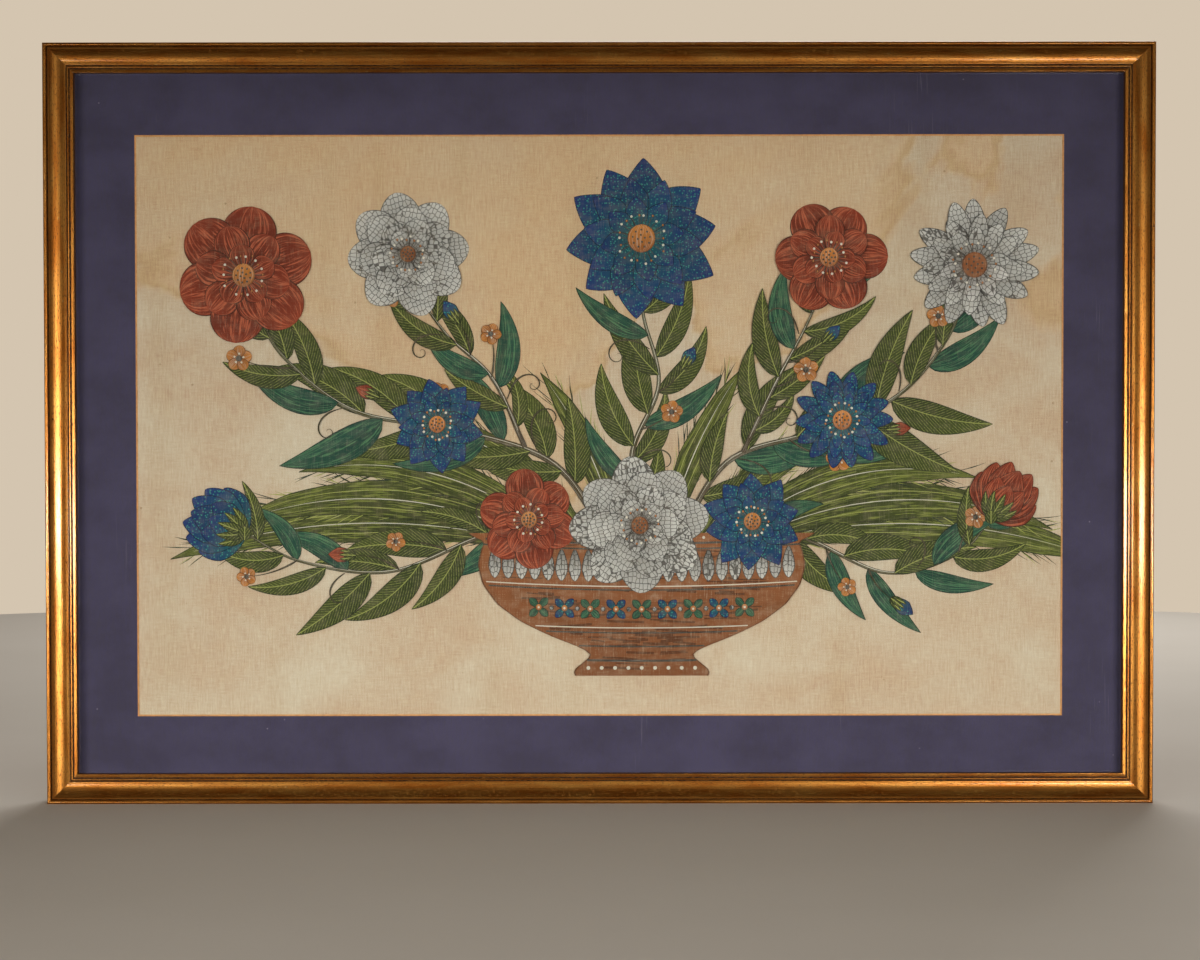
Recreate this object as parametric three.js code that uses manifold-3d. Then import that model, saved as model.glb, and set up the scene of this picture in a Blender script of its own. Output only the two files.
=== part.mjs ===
// A framed picture: painted cotton behind a window mat, glazed, in a gilded scoop-moulded wood frame.
// Millimetres, +Z up, +X to the viewer's right. The picture faces -Y and hangs on a wall at Y = 0.
// The origin lies on the wall plane, at the middle of the felt strip on the back of the top rail.
import * as THREE from 'three';
import * as BufferGeometryUtils from 'three/addons/utils/BufferGeometryUtils.js';
import Module from 'manifold-3d';

const wasm = await Module();
wasm.setup();

// ---------------------------------------------------------------- driving dimensions
const FRAME_WIDTH = 1153;          // over the outer edges of the moulding
const FRAME_HEIGHT = 791;
const FRAME_DEPTH = 36;            // wood, back to the crest of the outer bead
const WALL_GAP = 4.5;              // felt and hangers keep the wood this far off the wall
const RAIL_FACE = 30;              // moulding, outer edge to sight edge
const RABBET = 7;                  // how far the lip reaches over the glazing
const CLEARANCE = 1;               // round the sheets inside the rabbet
const GAP = 0.3;                   // between neighbouring pieces

const WINDOW_WIDTH = 970;          // front opening of the mat
const WINDOW_HEIGHT = 608;
const WINDOW_DROP = 2;             // the window sits this far below the middle of the frame

const GLAZING = 2;                 // thicknesses, front to back
const MAT = 1.5;
const CLOTH = 0.6;
const MOUNT_BOARD = 2.5;
const BACKING = 3;
const CLOTH_MARGIN = 28;           // cloth hidden under the mat, each side

// ---------------------------------------------------------------- heights above the back of the wood
const LIP_FRONT = 26;              // crest of the sight fillet
const LIP_REAR = 17.8;             // face that the glazing comes up to
const GLAZING_FRONT = LIP_REAR - GAP;
const MAT_FRONT = GLAZING_FRONT - GLAZING - GAP;
const CLOTH_FRONT = MAT_FRONT - MAT - GAP;
const MOUNT_FRONT = CLOTH_FRONT - CLOTH - GAP;
const BACKING_FRONT = MOUNT_FRONT - MOUNT_BOARD - GAP;
const BACKING_REAR = BACKING_FRONT - BACKING;

const RABBET_WALL = RAIL_FACE - RABBET;          // measured inwards from the outer edge
const RAIL_BACK_MIDDLE = RABBET_WALL / 2;        // middle of the flat back of a rail
const SHEET_INSET = RABBET_WALL + CLEARANCE;
const SHEET_WIDTH = FRAME_WIDTH - 2 * SHEET_INSET;
const SHEET_HEIGHT = FRAME_HEIGHT - 2 * SHEET_INSET;

// ---------------------------------------------------------------- hanging hardware
const HANGER_DROP = 205;           // top edge of the frame to the bar of the ring
const STRAP_WIDTH = 13;
const STRAP_LENGTH = 46;
const STRAP_SHEET = 0.8;
const RING_WIRE_R = 1;
const RING_WIDTH = 17;             // over the middle of the wire
const RING_HEIGHT = 15;
const BARREL_R = 2;                // strap rolled round the ring's bar, outside
const SCREW_R = 1.6;
const SCREW_POINT = 3;
const SCREW_HEAD_R = 3.1;
const SCREW_HEAD = 1.6;
const SCREW_LENGTH = 13;
const SCREW_DROPS = [14, 36];      // below the bar of the ring

const FELT_LENGTH = 420;
const FELT_HEIGHT = 15;
const FELT = WALL_GAP - GAP;

const TAPE = 0.4;
const TAPE_ON_BOARD = 24;
const TAPE_ON_RABBET = 5;

// ---------------------------------------------------------------- materials
const finish = (color, roughness, metalness = 0, extra = {}) =>
  new THREE.MeshStandardMaterial({ color, roughness, metalness, ...extra });

const MATERIALS = {
  gilding: finish('#a8742c', 0.42, 0.85),
  glass: finish('#dfe6e4', 0.05, 0, { transparent: true, opacity: 0.12 }),
  mat: finish('#443f50', 0.92),
  cotton: finish('#bd9f77', 0.95),
  board: finish('#e4ddcc', 0.9),
  hardboard: finish('#6f4b2c', 0.7),
  tape: finish('#b48a58', 0.75),
  felt: finish('#3d3a38', 1),
  brass: finish('#b08d4a', 0.35, 1),
};

// ---------------------------------------------------------------- helpers
function toManifold(geometry) {
  const bare = geometry.clone();
  bare.deleteAttribute('normal');
  bare.deleteAttribute('uv');
  const merged = BufferGeometryUtils.mergeVertices(bare, 1e-4);
  return new wasm.Manifold(new wasm.Mesh({
    numProp: 3,
    vertProperties: new Float32Array(merged.attributes.position.array),
    triVerts: new Uint32Array(merged.index.array),
  }));
}

function toGeometry(manifold) {
  const mesh = manifold.getMesh();
  const geometry = new THREE.BufferGeometry();
  geometry.setAttribute('position', new THREE.BufferAttribute(mesh.vertProperties, 3));
  geometry.setIndex(new THREE.BufferAttribute(mesh.triVerts, 1));
  return geometry;
}

const subtract = (geometry, cutters) => toGeometry(
  cutters.reduce((solid, cutter) => solid.subtract(toManifold(cutter)), toManifold(geometry)),
);

function named(name, geometry, material) {
  const mesh = new THREE.Mesh(geometry, material.clone());
  mesh.name = name;
  return mesh;
}

function centredRectangle(Type, width, height, drop = 0) {
  const [w, h] = [width / 2, height / 2];
  const outline = new Type();
  outline.moveTo(-w, -h - drop);
  outline.lineTo(w, -h - drop);
  outline.lineTo(w, h - drop);
  outline.lineTo(-w, h - drop);
  outline.closePath();
  return outline;
}

// An upright sheet from an outline in X and Z: its back at `front - thickness` above the wood's back.
function sheet(outline, front, thickness) {
  const geometry = new THREE.ExtrudeGeometry(outline, { depth: thickness, bevelEnabled: false });
  return geometry.rotateX(Math.PI / 2).translate(0, thickness - front, 0);
}

// A strip mitred at both ends. The profile gives distance in from the frame's outer edge and height
// above the wood's back. The strip lies along X with its outer edge at Z = 0.
function mitredStrip(profile, outerLength, segments = 12) {
  const geometry = new THREE.ExtrudeGeometry(profile, {
    depth: 1, steps: 1, bevelEnabled: false, curveSegments: segments,
  });
  const { position } = geometry.attributes;
  const mitreGap = GAP / Math.SQRT2;
  for (let i = 0; i < position.count; i += 1) {
    const inwards = position.getX(i);
    const height = position.getY(i);
    const end = outerLength / 2 - inwards - mitreGap;
    position.setXYZ(i, position.getZ(i) > 0.5 ? -end : end, -height, -inwards);
  }
  geometry.computeVertexNormals();
  return geometry;
}

// ---------------------------------------------------------------- moulding
// Outer bead, step, broad scoop, groove, small bead, groove and sight fillet, from the outer edge in.
function mouldingProfile() {
  const beadR = 2;
  const stepAt = 4;
  const stepDepth = 3.2;
  const scoopFrom = 4.9;             // the scoop falls steeply, turns flat and rolls into the groove
  const scoopTo = 22.3;
  const scoopFallShare = 0.92;       // share of the scoop's width that the round fall takes
  const scoopFloor = LIP_FRONT - 0.4;
  const scoopAngle = THREE.MathUtils.degToRad(52);
  const scoopR = (scoopTo - scoopFrom) * scoopFallShare / Math.sin(scoopAngle);
  const scoopBottom = scoopFrom + scoopR * Math.sin(scoopAngle);
  const grooveFloor = LIP_FRONT - 1.5;
  const grooveFoot = 0.2;            // how far the scoop's roll runs into the groove
  const smallBead = 24.3;
  const smallBeadR = 0.95;
  const smallBeadCentre = LIP_FRONT - 0.9;
  const quirkFloor = LIP_FRONT - 1.3;
  const quirkTo = 26.6;
  const filletFrom = 26.9;
  const filletShoulder = LIP_FRONT - 0.25;
  const filletRound = 0.7;

  const profile = new THREE.Shape();
  profile.moveTo(0, 0);
  profile.lineTo(RABBET_WALL, 0);
  profile.lineTo(RABBET_WALL, LIP_REAR);
  profile.lineTo(RAIL_FACE, LIP_REAR);
  profile.lineTo(RAIL_FACE, LIP_FRONT - filletRound);
  profile.absarc(RAIL_FACE - filletRound, LIP_FRONT - filletRound, filletRound, 0, Math.PI / 2, false);
  profile.lineTo(filletFrom, filletShoulder);
  profile.lineTo(quirkTo, quirkFloor);
  profile.lineTo(smallBead + smallBeadR, quirkFloor);
  profile.absarc(smallBead, smallBeadCentre, smallBeadR, 0, Math.PI, false);
  profile.lineTo(smallBead - smallBeadR, grooveFloor);
  profile.lineTo(scoopTo + grooveFoot, grooveFloor);
  profile.quadraticCurveTo(scoopTo, scoopFloor, scoopBottom, scoopFloor);
  profile.absarc(scoopBottom, scoopFloor + scoopR, scoopR, -Math.PI / 2, -Math.PI / 2 - scoopAngle, true);
  profile.lineTo(stepAt, FRAME_DEPTH - stepDepth);
  profile.lineTo(stepAt, FRAME_DEPTH - beadR);
  profile.absarc(beadR, FRAME_DEPTH - beadR, beadR, 0, Math.PI, false);
  profile.closePath();
  return profile;
}

// A screw hole for the hanger straps, as seen from the rail's own strip frame.
function pilotHole(alongRail) {
  const hole = new THREE.CylinderGeometry(SCREW_R + GAP, SCREW_R + GAP, 2 * SCREW_LENGTH, 16);
  return hole.translate(alongRail, 0, -RAIL_BACK_MIDDLE);
}

const SIDES = [
  { side: 'top', turn: 0, length: FRAME_WIDTH, reach: FRAME_HEIGHT / 2 },
  { side: 'right', turn: Math.PI / 2, length: FRAME_HEIGHT, reach: FRAME_WIDTH / 2 },
  { side: 'bottom', turn: Math.PI, length: FRAME_WIDTH, reach: FRAME_HEIGHT / 2 },
  { side: 'left', turn: -Math.PI / 2, length: FRAME_HEIGHT, reach: FRAME_WIDTH / 2 },
];

// Turns a strip from the top edge round to its own side of the frame.
function placed(mesh, { turn, reach }) {
  const side = new THREE.Group();
  side.rotation.y = turn;
  mesh.position.z = reach;
  side.add(mesh);
  return side;
}

function rails() {
  const profile = mouldingProfile();
  return SIDES.map((place) => {
    let geometry = mitredStrip(profile, place.length);
    if (place.side === 'left' || place.side === 'right') {
      // On the right rail the strip's +X points down, and on the left rail it points up.
      const down = place.side === 'right' ? 1 : -1;
      const holes = SCREW_DROPS.map((drop) => pilotHole(
        down * (HANGER_DROP + drop - FRAME_HEIGHT / 2),
      ));
      geometry = subtract(geometry, holes);
    }
    return placed(named(`rail_${place.side}`, geometry, MATERIALS.gilding), place);
  });
}

// ---------------------------------------------------------------- sheets inside the rabbet
function windowMat() {
  const outline = centredRectangle(THREE.Shape, SHEET_WIDTH, SHEET_HEIGHT);
  outline.holes.push(centredRectangle(
    THREE.Path, WINDOW_WIDTH - 2 * MAT, WINDOW_HEIGHT - 2 * MAT, WINDOW_DROP,
  ));
  const geometry = sheet(outline, MAT_FRONT, MAT);
  // The front edge of the opening is wider all round, which leaves a 45 degree bevel.
  const { position } = geometry.attributes;
  const point = new THREE.Vector3();
  for (let i = 0; i < position.count; i += 1) {
    point.fromBufferAttribute(position, i);
    const atFront = point.y < -MAT_FRONT + MAT / 2;
    if (atFront && Math.abs(point.x) < WINDOW_WIDTH / 2) {
      point.x += Math.sign(point.x) * MAT;
      point.z += Math.sign(point.z + WINDOW_DROP) * MAT;
      position.setXYZ(i, point.x, point.y, point.z);
    }
  }
  geometry.computeVertexNormals();
  return named('window_mat', geometry, MATERIALS.mat);
}

function sheets() {
  const whole = centredRectangle(THREE.Shape, SHEET_WIDTH, SHEET_HEIGHT);
  const cloth = centredRectangle(
    THREE.Shape, WINDOW_WIDTH + 2 * CLOTH_MARGIN, WINDOW_HEIGHT + 2 * CLOTH_MARGIN, WINDOW_DROP,
  );
  return [
    named('glazing', sheet(whole, GLAZING_FRONT, GLAZING), MATERIALS.glass),
    windowMat(),
    named('painted_cloth', sheet(cloth, CLOTH_FRONT, CLOTH), MATERIALS.cotton),
    named('mount_board', sheet(whole, MOUNT_FRONT, MOUNT_BOARD), MATERIALS.board),
    named('backing_board', sheet(whole, BACKING_FRONT, BACKING), MATERIALS.hardboard),
  ];
}

// Gummed paper folded into the corner between the backing board and the rabbet wall.
function tapes() {
  const wall = RABBET_WALL + GAP;
  const top = BACKING_REAR - GAP;
  const profile = new THREE.Shape();
  profile.moveTo(wall, top - TAPE_ON_RABBET);
  profile.lineTo(wall + TAPE, top - TAPE_ON_RABBET);
  profile.lineTo(wall + TAPE, top - TAPE);
  profile.lineTo(wall + TAPE_ON_BOARD, top - TAPE);
  profile.lineTo(wall + TAPE_ON_BOARD, top);
  profile.lineTo(wall, top);
  profile.closePath();
  return SIDES.map((place) => placed(
    named(`tape_${place.side}`, mitredStrip(profile, place.length), MATERIALS.tape),
    place,
  ));
}

// ---------------------------------------------------------------- back fittings
function felt(name, z) {
  const strip = named(name, new THREE.BoxGeometry(FELT_LENGTH, FELT, FELT_HEIGHT), MATERIALS.felt);
  strip.position.set(0, GAP + FELT / 2, z);
  return strip;
}

// The ring's outline lies flat against the wall: a straight bar, short corners and a round bow.
class RingCurve extends THREE.Curve {
  constructor() {
    super();
    const half = RING_WIDTH / 2;
    const corner = 2.2;
    const bowZ = RING_HEIGHT - half;
    this.outline = new THREE.Path();
    this.outline.moveTo(GAP, 0);
    this.outline.lineTo(half - corner, 0);
    this.outline.absarc(half - corner, corner, corner, -Math.PI / 2, 0, false);
    this.outline.lineTo(half, bowZ);
    this.outline.absarc(0, bowZ, half, 0, Math.PI, false);
    this.outline.lineTo(-half, corner);
    this.outline.absarc(corner - half, corner, corner, Math.PI, Math.PI * 1.5, false);
    this.outline.lineTo(-GAP, 0);
  }

  getPoint(t, target = new THREE.Vector3()) {
    const point = this.outline.getPoint(t);
    return target.set(point.x, 0, point.y);
  }
}

function circle(Type, x, y, radius) {
  const outline = new Type();
  outline.absarc(x, y, radius, 0, 2 * Math.PI, false);
  return outline;
}

function ring() {
  return new THREE.ExtrudeGeometry(circle(THREE.Shape, 0, 0, RING_WIRE_R), {
    steps: 44, curveSegments: 8, extrudePath: new RingCurve(), bevelEnabled: false,
  });
}

// Flat strap rolled round the ring's bar. The bar runs along X at Z = 0 and the strap hangs below it.
function strap() {
  const meet = Math.PI + Math.asin((BARREL_R - STRAP_SHEET) / BARREL_R);
  const section = new THREE.Shape();
  section.moveTo(-STRAP_LENGTH, 0);
  section.lineTo(0, 0);
  section.absarc(0, BARREL_R, BARREL_R, -Math.PI / 2, meet, false);
  section.lineTo(-STRAP_LENGTH, STRAP_SHEET);
  section.closePath();
  section.holes.push(circle(THREE.Path, 0, BARREL_R, RING_WIRE_R + GAP));
  const rolled = new THREE.ExtrudeGeometry(section, {
    depth: STRAP_WIDTH, curveSegments: 10, bevelEnabled: false,
  });
  // Section X becomes Z, section Y becomes Y, and the extrusion runs along X.
  rolled.rotateY(-Math.PI / 2).translate(STRAP_WIDTH / 2, 0, 0);

  // Trimmed to a round lower end.
  const half = STRAP_WIDTH / 2;
  const plan = new THREE.Shape();
  plan.moveTo(-half, 2 * BARREL_R);
  plan.lineTo(-half, half - STRAP_LENGTH);
  plan.absarc(0, half - STRAP_LENGTH, half, Math.PI, 2 * Math.PI, false);
  plan.lineTo(half, 2 * BARREL_R);
  plan.closePath();
  const rounded = new THREE.ExtrudeGeometry(plan, { depth: 4 * BARREL_R, bevelEnabled: false });
  rounded.rotateX(Math.PI / 2).translate(0, 3 * BARREL_R, 0);

  const holes = SCREW_DROPS.map((drop) => new THREE.CylinderGeometry(
    SCREW_R + GAP, SCREW_R + GAP, 2 * BARREL_R, 16,
  ).translate(0, 0, -drop));
  const trimmed = toManifold(rolled).intersect(toManifold(rounded));
  return subtract(toGeometry(trimmed), holes);
}

// Domed head and pointed shank, turned about Y with the underside of the head at Y = 0.
function screw() {
  const profile = new THREE.Path();
  profile.moveTo(0, -SCREW_LENGTH);
  profile.lineTo(SCREW_R, SCREW_POINT - SCREW_LENGTH);
  profile.lineTo(SCREW_R, 0);
  profile.lineTo(SCREW_HEAD_R, 0);
  profile.quadraticCurveTo(SCREW_HEAD_R, SCREW_HEAD, 0, SCREW_HEAD);
  return new THREE.LatheGeometry(profile.getPoints(5), 16);
}

function hanger(side, sign) {
  const fitted = new THREE.Group();
  fitted.add(named(`hanger_strap_${side}`, strap(), MATERIALS.brass));
  const loop = named(`hanger_ring_${side}`, ring(), MATERIALS.brass);
  loop.position.y = BARREL_R;
  fitted.add(loop);
  SCREW_DROPS.forEach((drop, index) => {
    const fixing = named(`hanger_screw_${side}_${index + 1}`, screw(), MATERIALS.brass);
    fixing.position.set(0, STRAP_SHEET + GAP, -drop);
    fitted.add(fixing);
  });
  fitted.position.set(
    sign * (FRAME_WIDTH / 2 - RAIL_BACK_MIDDLE), GAP, FRAME_HEIGHT / 2 - HANGER_DROP,
  );
  return fitted;
}

// ---------------------------------------------------------------- the whole picture
const picture = new THREE.Group();
picture.add(...rails());
picture.add(...sheets());
picture.add(...tapes());
picture.add(felt('felt_top', FRAME_HEIGHT / 2 - RAIL_BACK_MIDDLE));
picture.add(felt('felt_bottom', RAIL_BACK_MIDDLE - FRAME_HEIGHT / 2));
picture.add(hanger('left', -1));
picture.add(hanger('right', 1));
picture.position.set(0, -WALL_GAP, RAIL_BACK_MIDDLE - FRAME_HEIGHT / 2);

export default picture;
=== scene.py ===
"""A framed picture: painted cotton behind a window mat, glazed, in a gilded scoop-moulded frame.

Metres, +Z up, +X to the viewer's right. The picture faces -Y and its back is towards a wall at Y = 0.
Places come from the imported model. Sizes that only the looks need are fields of the class they belong to.
"""
import logging
import math
import random
from collections.abc import Sequence
from dataclasses import dataclass, field
from enum import Enum

import bmesh
import bpy
import numpy as np
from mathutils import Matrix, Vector, noise


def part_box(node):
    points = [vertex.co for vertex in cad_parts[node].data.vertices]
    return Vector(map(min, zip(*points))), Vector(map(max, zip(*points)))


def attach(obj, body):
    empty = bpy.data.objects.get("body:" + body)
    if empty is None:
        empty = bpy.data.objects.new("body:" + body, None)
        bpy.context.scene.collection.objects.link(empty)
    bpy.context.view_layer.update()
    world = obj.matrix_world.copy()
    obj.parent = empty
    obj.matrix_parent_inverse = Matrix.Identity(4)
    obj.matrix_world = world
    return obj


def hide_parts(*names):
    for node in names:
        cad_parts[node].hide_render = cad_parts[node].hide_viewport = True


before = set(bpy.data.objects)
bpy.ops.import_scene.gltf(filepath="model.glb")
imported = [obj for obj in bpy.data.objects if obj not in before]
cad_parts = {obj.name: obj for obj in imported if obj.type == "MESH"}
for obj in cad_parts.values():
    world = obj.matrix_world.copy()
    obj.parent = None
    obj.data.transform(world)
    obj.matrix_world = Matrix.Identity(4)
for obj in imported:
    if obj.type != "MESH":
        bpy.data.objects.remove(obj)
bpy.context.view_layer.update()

LOG = logging.getLogger("framed_picture")
MM = 0.001
BODY = "root"

Socket = bpy.types.NodeSocket
Tree = bpy.types.NodeTree
Colour = tuple[float, float, float, float]
# How large a texture's grain is along x, y and z, in millimetres.
Grain = tuple[float, float, float]


# ---------------------------------------------------------------- small tools
def linear(code: str) -> Colour:
    """Turn an sRGB hex colour into linear values.

    Args:
        code: Six hex digits after a hash.

    Returns:
        Red, green, blue and an alpha of 1.
    """
    channels = [int(code[i:i + 2], 16) / 255 for i in (1, 3, 5)]
    turned = [c / 12.92 if c <= 0.04045 else ((c + 0.055) / 1.055) ** 2.4 for c in channels]
    return (*turned, 1.0)


def add(tree: Tree, kind: str, *values: object, size: Sequence[float] = (), out: int | str | None = None,
        ramp: Sequence[tuple[float, object]] = (), **named: object) -> Socket:
    """Add one node with its settings, values and links.

    Args:
        tree: The node tree it goes in.
        kind: Blender's name for the node without its ShaderNode prefix, then its operation or its data
            type where it has a choice of them.
        values: What its open inputs get, in order: values, or the outputs that feed them.
        size: Millimetres that one pattern of a texture covers along X, Y and Z.
        out: The output to hand back; its first open one where left out.
        ramp: Stops of a colour ramp, each a place and a grey or a colour.
        named: Inputs, which start with a capital, and settings, which don't.

    Returns:
        The chosen output socket.
    """
    kind, _, choice = kind.partition(" ")
    node = tree.nodes.new("ShaderNode" + kind)
    if choice:
        setattr(node, "data_type" if kind == "Mix" else "operation", choice)
    for name, value in named.items():
        if name[0].islower():
            setattr(node, name, value)
    if size:
        place = values[0] if values else add(tree, "TexCoord", out="Object")
        values = (add(tree, "VectorMath MULTIPLY", place, [1 / (length * MM) for length in size]),)
        node.inputs["Scale"].default_value = 1.0
    if ramp:
        stops = node.color_ramp.elements
        while len(stops) < len(ramp):
            stops.new(1.0)
        for stop, (where, value) in zip(stops, ramp):
            stop.position = where
            stop.color = (value, value, value, 1.0) if isinstance(value, (int, float)) else value
    pairs = list(zip([socket for socket in node.inputs if socket.enabled], values))
    pairs += [(node.inputs[name.replace("_", " ")], value) for name, value in named.items()
              if name[0].isupper()]
    for socket, value in pairs:
        if isinstance(value, Socket):
            tree.links.new(value, socket)
        else:
            socket.default_value = value
    open_outputs = [socket for socket in node.outputs if socket.enabled]
    return node.outputs[out] if out is not None else (open_outputs or node.inputs)[0]


def fresh_material(name: str) -> tuple[bpy.types.Material, Tree]:
    """Make an empty node material.

    Args:
        name: The finish's name.

    Returns:
        The material and its node tree.
    """
    material = bpy.data.materials.new(name)
    material.use_nodes = True
    material.node_tree.nodes.clear()
    return material, material.node_tree


# ---------------------------------------------------------------- finishes
@dataclass(frozen=True)
class GildedWood:
    """Softwood moulding with bronze-gold leaf burnished over red-brown bole and then aged.

    The eye gets a warm satin metal with fine lengthwise tool lines, red-brown ground where the outer edge
    is rubbed, and brown dirt with painted shade lying dark in the grooves, below the step and on the sight
    edge's wall. The sides are toned with matt ochre, over which the leaf laps unevenly. The mesh carries
    "place" (along, girth, rail) and "wear" (crest, hollow, toned).
    """

    name: str = "bronze-gold leaf on bole over softwood, aged"
    leaf: str = "#b06823"
    pale_leaf: str = "#cf9345"
    bole: str = "#52230f"
    dirt: str = "#150a04"
    ochre: str = "#7a5a2a"
    tool_line: Grain = (170.0, 1.0, 1000.0)
    cloud: Grain = (60.0, 9.0, 1000.0)
    fleck: Grain = (3.6, 1.1, 1000.0)
    scrap: Grain = (26.0, 14.3, 1000.0)
    doubled_leaf: str = "#dcb069"
    spot: Grain = (19.0, 9.0, 1000.0)
    relief: float = 0.13 * MM

    def make(self) -> bpy.types.Material:
        """Build the material."""
        material, tree = fresh_material(self.name)
        place = add(tree, "Attribute", out="Vector", attribute_name="place")
        wear = add(tree, "Attribute", out="Vector", attribute_name="wear")
        crest, hollow, toned = add(tree, "SeparateXYZ", wear).node.outputs
        lines = add(tree, "TexNoise", place, size=self.tool_line, Detail=2.0)
        clouds = add(tree, "TexNoise", place, size=self.cloud, Detail=4.0, Roughness=0.6)
        flecks = add(tree, "TexNoise", place, size=self.fleck, Detail=2.0)
        worn = add(tree, "ValToRGB", clouds, ramp=((0.35, 0.0), (0.7, 1.0)))
        leaf = add(tree, "Mix RGBA", worn, linear(self.leaf), linear(self.pale_leaf))
        thin = add(tree, "ValToRGB", lines, ramp=((0.36, 0.20), (0.52, 0.0)))
        leaf = add(tree, "Mix RGBA", thin, leaf, linear(self.bole))
        # Where two leaves overlap, a doubled scrap of gold stands out a little paler.
        scraps = add(tree, "TexVoronoi", place, size=self.scrap)
        scraps = add(tree, "ValToRGB", scraps, ramp=((0.04, 0.5), (0.09, 0.0)))
        leaf = add(tree, "Mix RGBA", scraps, leaf, linear(self.doubled_leaf))
        # Rubbing reaches the bole first along the outer edge, in broken patches.
        rub = add(tree, "ValToRGB", flecks, ramp=((0.50, 0.0), (0.62, 1.0)))
        rub = add(tree, "Math MULTIPLY", rub, add(tree, "ValToRGB", crest, ramp=((0.55, 0.0), (1.0, 0.75))))
        rub = add(tree, "Math MULTIPLY", rub, add(tree, "ValToRGB", clouds, ramp=((0.45, 0.1), (0.6, 0.8))))
        colour = add(tree, "Mix RGBA", rub, leaf, linear(self.bole))
        # Dirt and painted shade fill the grooves in a dotted line; dirt spots lie thinly over the rest.
        dotted = add(tree, "ValToRGB", flecks, ramp=((0.42, 1.0), (0.66, 0.72)))
        dirt_and_shade = add(tree, "Math MULTIPLY", hollow, dotted, use_clamp=True)
        spots = add(tree, "TexVoronoi", place, size=self.spot)
        spots = add(tree, "ValToRGB", spots, ramp=((0.02, 0.65), (0.045, 0.0)))
        dirt_and_shade = add(tree, "Math MAXIMUM", dirt_and_shade, spots)
        # The leaf broke finely as it was laid, and the breaks have filled with dirt.
        breaks = add(tree, "ValToRGB", flecks, ramp=((0.35, 0.6), (0.44, 0.0)))
        dirt_and_shade = add(tree, "Math MAXIMUM", dirt_and_shade, breaks)
        red = add(tree, "Mix RGBA", dotted, linear(self.bole), linear(self.dirt))
        colour = add(tree, "Mix RGBA", dirt_and_shade, colour, red)
        lap = add(tree, "Math MULTIPLY_ADD", flecks, 0.16, add(tree, "Math SUBTRACT", toned, 0.08))
        lap = add(tree, "ValToRGB", lap, ramp=((0.13, 0.0), (0.15, 1.0)))
        colour = add(tree, "Mix RGBA", lap, colour, linear(self.ochre))
        covered = add(tree, "Math MAXIMUM", lap, add(tree, "Math MAXIMUM", dirt_and_shade, rub), use_clamp=True)
        metal = add(tree, "Math MULTIPLY_ADD", covered, -0.85, 0.94)
        rough = add(tree, "Math MULTIPLY_ADD", flecks, 0.10, 0.25)
        rough = add(tree, "Math MULTIPLY_ADD", covered, 0.25, rough)
        rough = add(tree, "Math MULTIPLY_ADD", lap, 0.2, rough, use_clamp=True)
        height = add(tree, "Math MULTIPLY_ADD", flecks, 0.12, add(tree, "Math MULTIPLY", lines, 0.88))
        bump = add(tree, "Bump", Height=height, Distance=self.relief)
        shader = add(tree, "BsdfPrincipled", Base_Color=colour, Metallic=metal, Roughness=rough, Normal=bump,
                     Specular_IOR_Level=0.15, Coat_Roughness=0.13,
                     Coat_Weight=add(tree, "Math MULTIPLY_ADD", covered, -0.75, 0.75))
        add(tree, "OutputMaterial", Surface=shader)
        return material


@dataclass(frozen=True)
class BarePine:
    """Planed pine left bare: pale yellow-brown with darker year lines along the rail, dulled by dust."""

    name: str = "bare planed pine"
    pale: str = "#b98f5c"
    dark: str = "#7d5630"
    year_ring: Grain = (160.0, 2.4, 1000.0)
    pore: Grain = (9.0, 0.35, 1000.0)

    def make(self) -> bpy.types.Material:
        """Build the material."""
        material, tree = fresh_material(self.name)
        place = add(tree, "Attribute", out="Vector", attribute_name="place")
        pale, dark = linear(self.pale), linear(self.dark)
        rings = add(tree, "TexNoise", place, size=self.year_ring, Detail=3.0, Distortion=0.4)
        pores = add(tree, "TexNoise", place, size=self.pore, Detail=2.0)
        colour = add(tree, "ValToRGB", rings, ramp=((0.35, pale), (0.52, dark), (0.6, pale)))
        open_pore = add(tree, "ValToRGB", pores, ramp=((0.55, 0.0), (0.7, 0.6)))
        colour = add(tree, "Mix RGBA", open_pore, colour, dark)
        bump = add(tree, "Bump", Height=pores, Distance=0.08 * MM)
        shader = add(tree, "BsdfPrincipled", Base_Color=colour, Roughness=0.78, Normal=bump)
        add(tree, "OutputMaterial", Surface=shader)
        return material


@dataclass(frozen=True)
class PictureGlass:
    """Drawn sheet glass, 2 mm: nearly colourless and sharp, with faint wiping scratches in its gloss."""

    name: str = "drawn sheet glass, lightly scratched"
    tint: str = "#f7fbf9"
    scratch: Grain = (0.35, 1000.0, 55.0)
    patch: Grain = (160.0, 1000.0, 130.0)

    def make(self) -> bpy.types.Material:
        """Build the material."""
        material, tree = fresh_material(self.name)
        hair = add(tree, "TexNoise", size=self.scratch, Detail=1.0, Distortion=0.6)
        hair = add(tree, "ValToRGB", hair, ramp=((0.74, 0.0), (0.78, 1.0)))
        patch = add(tree, "TexNoise", size=self.patch, Detail=1.0)
        patch = add(tree, "ValToRGB", patch, ramp=((0.5, 0.0), (0.62, 0.06)))
        rough = add(tree, "Math MULTIPLY", hair, patch)
        shader = add(tree, "BsdfPrincipled", Base_Color=linear(self.tint), Roughness=rough, IOR=1.5,
                     Transmission_Weight=1.0)
        add(tree, "OutputMaterial", Surface=shader)
        return material


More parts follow.
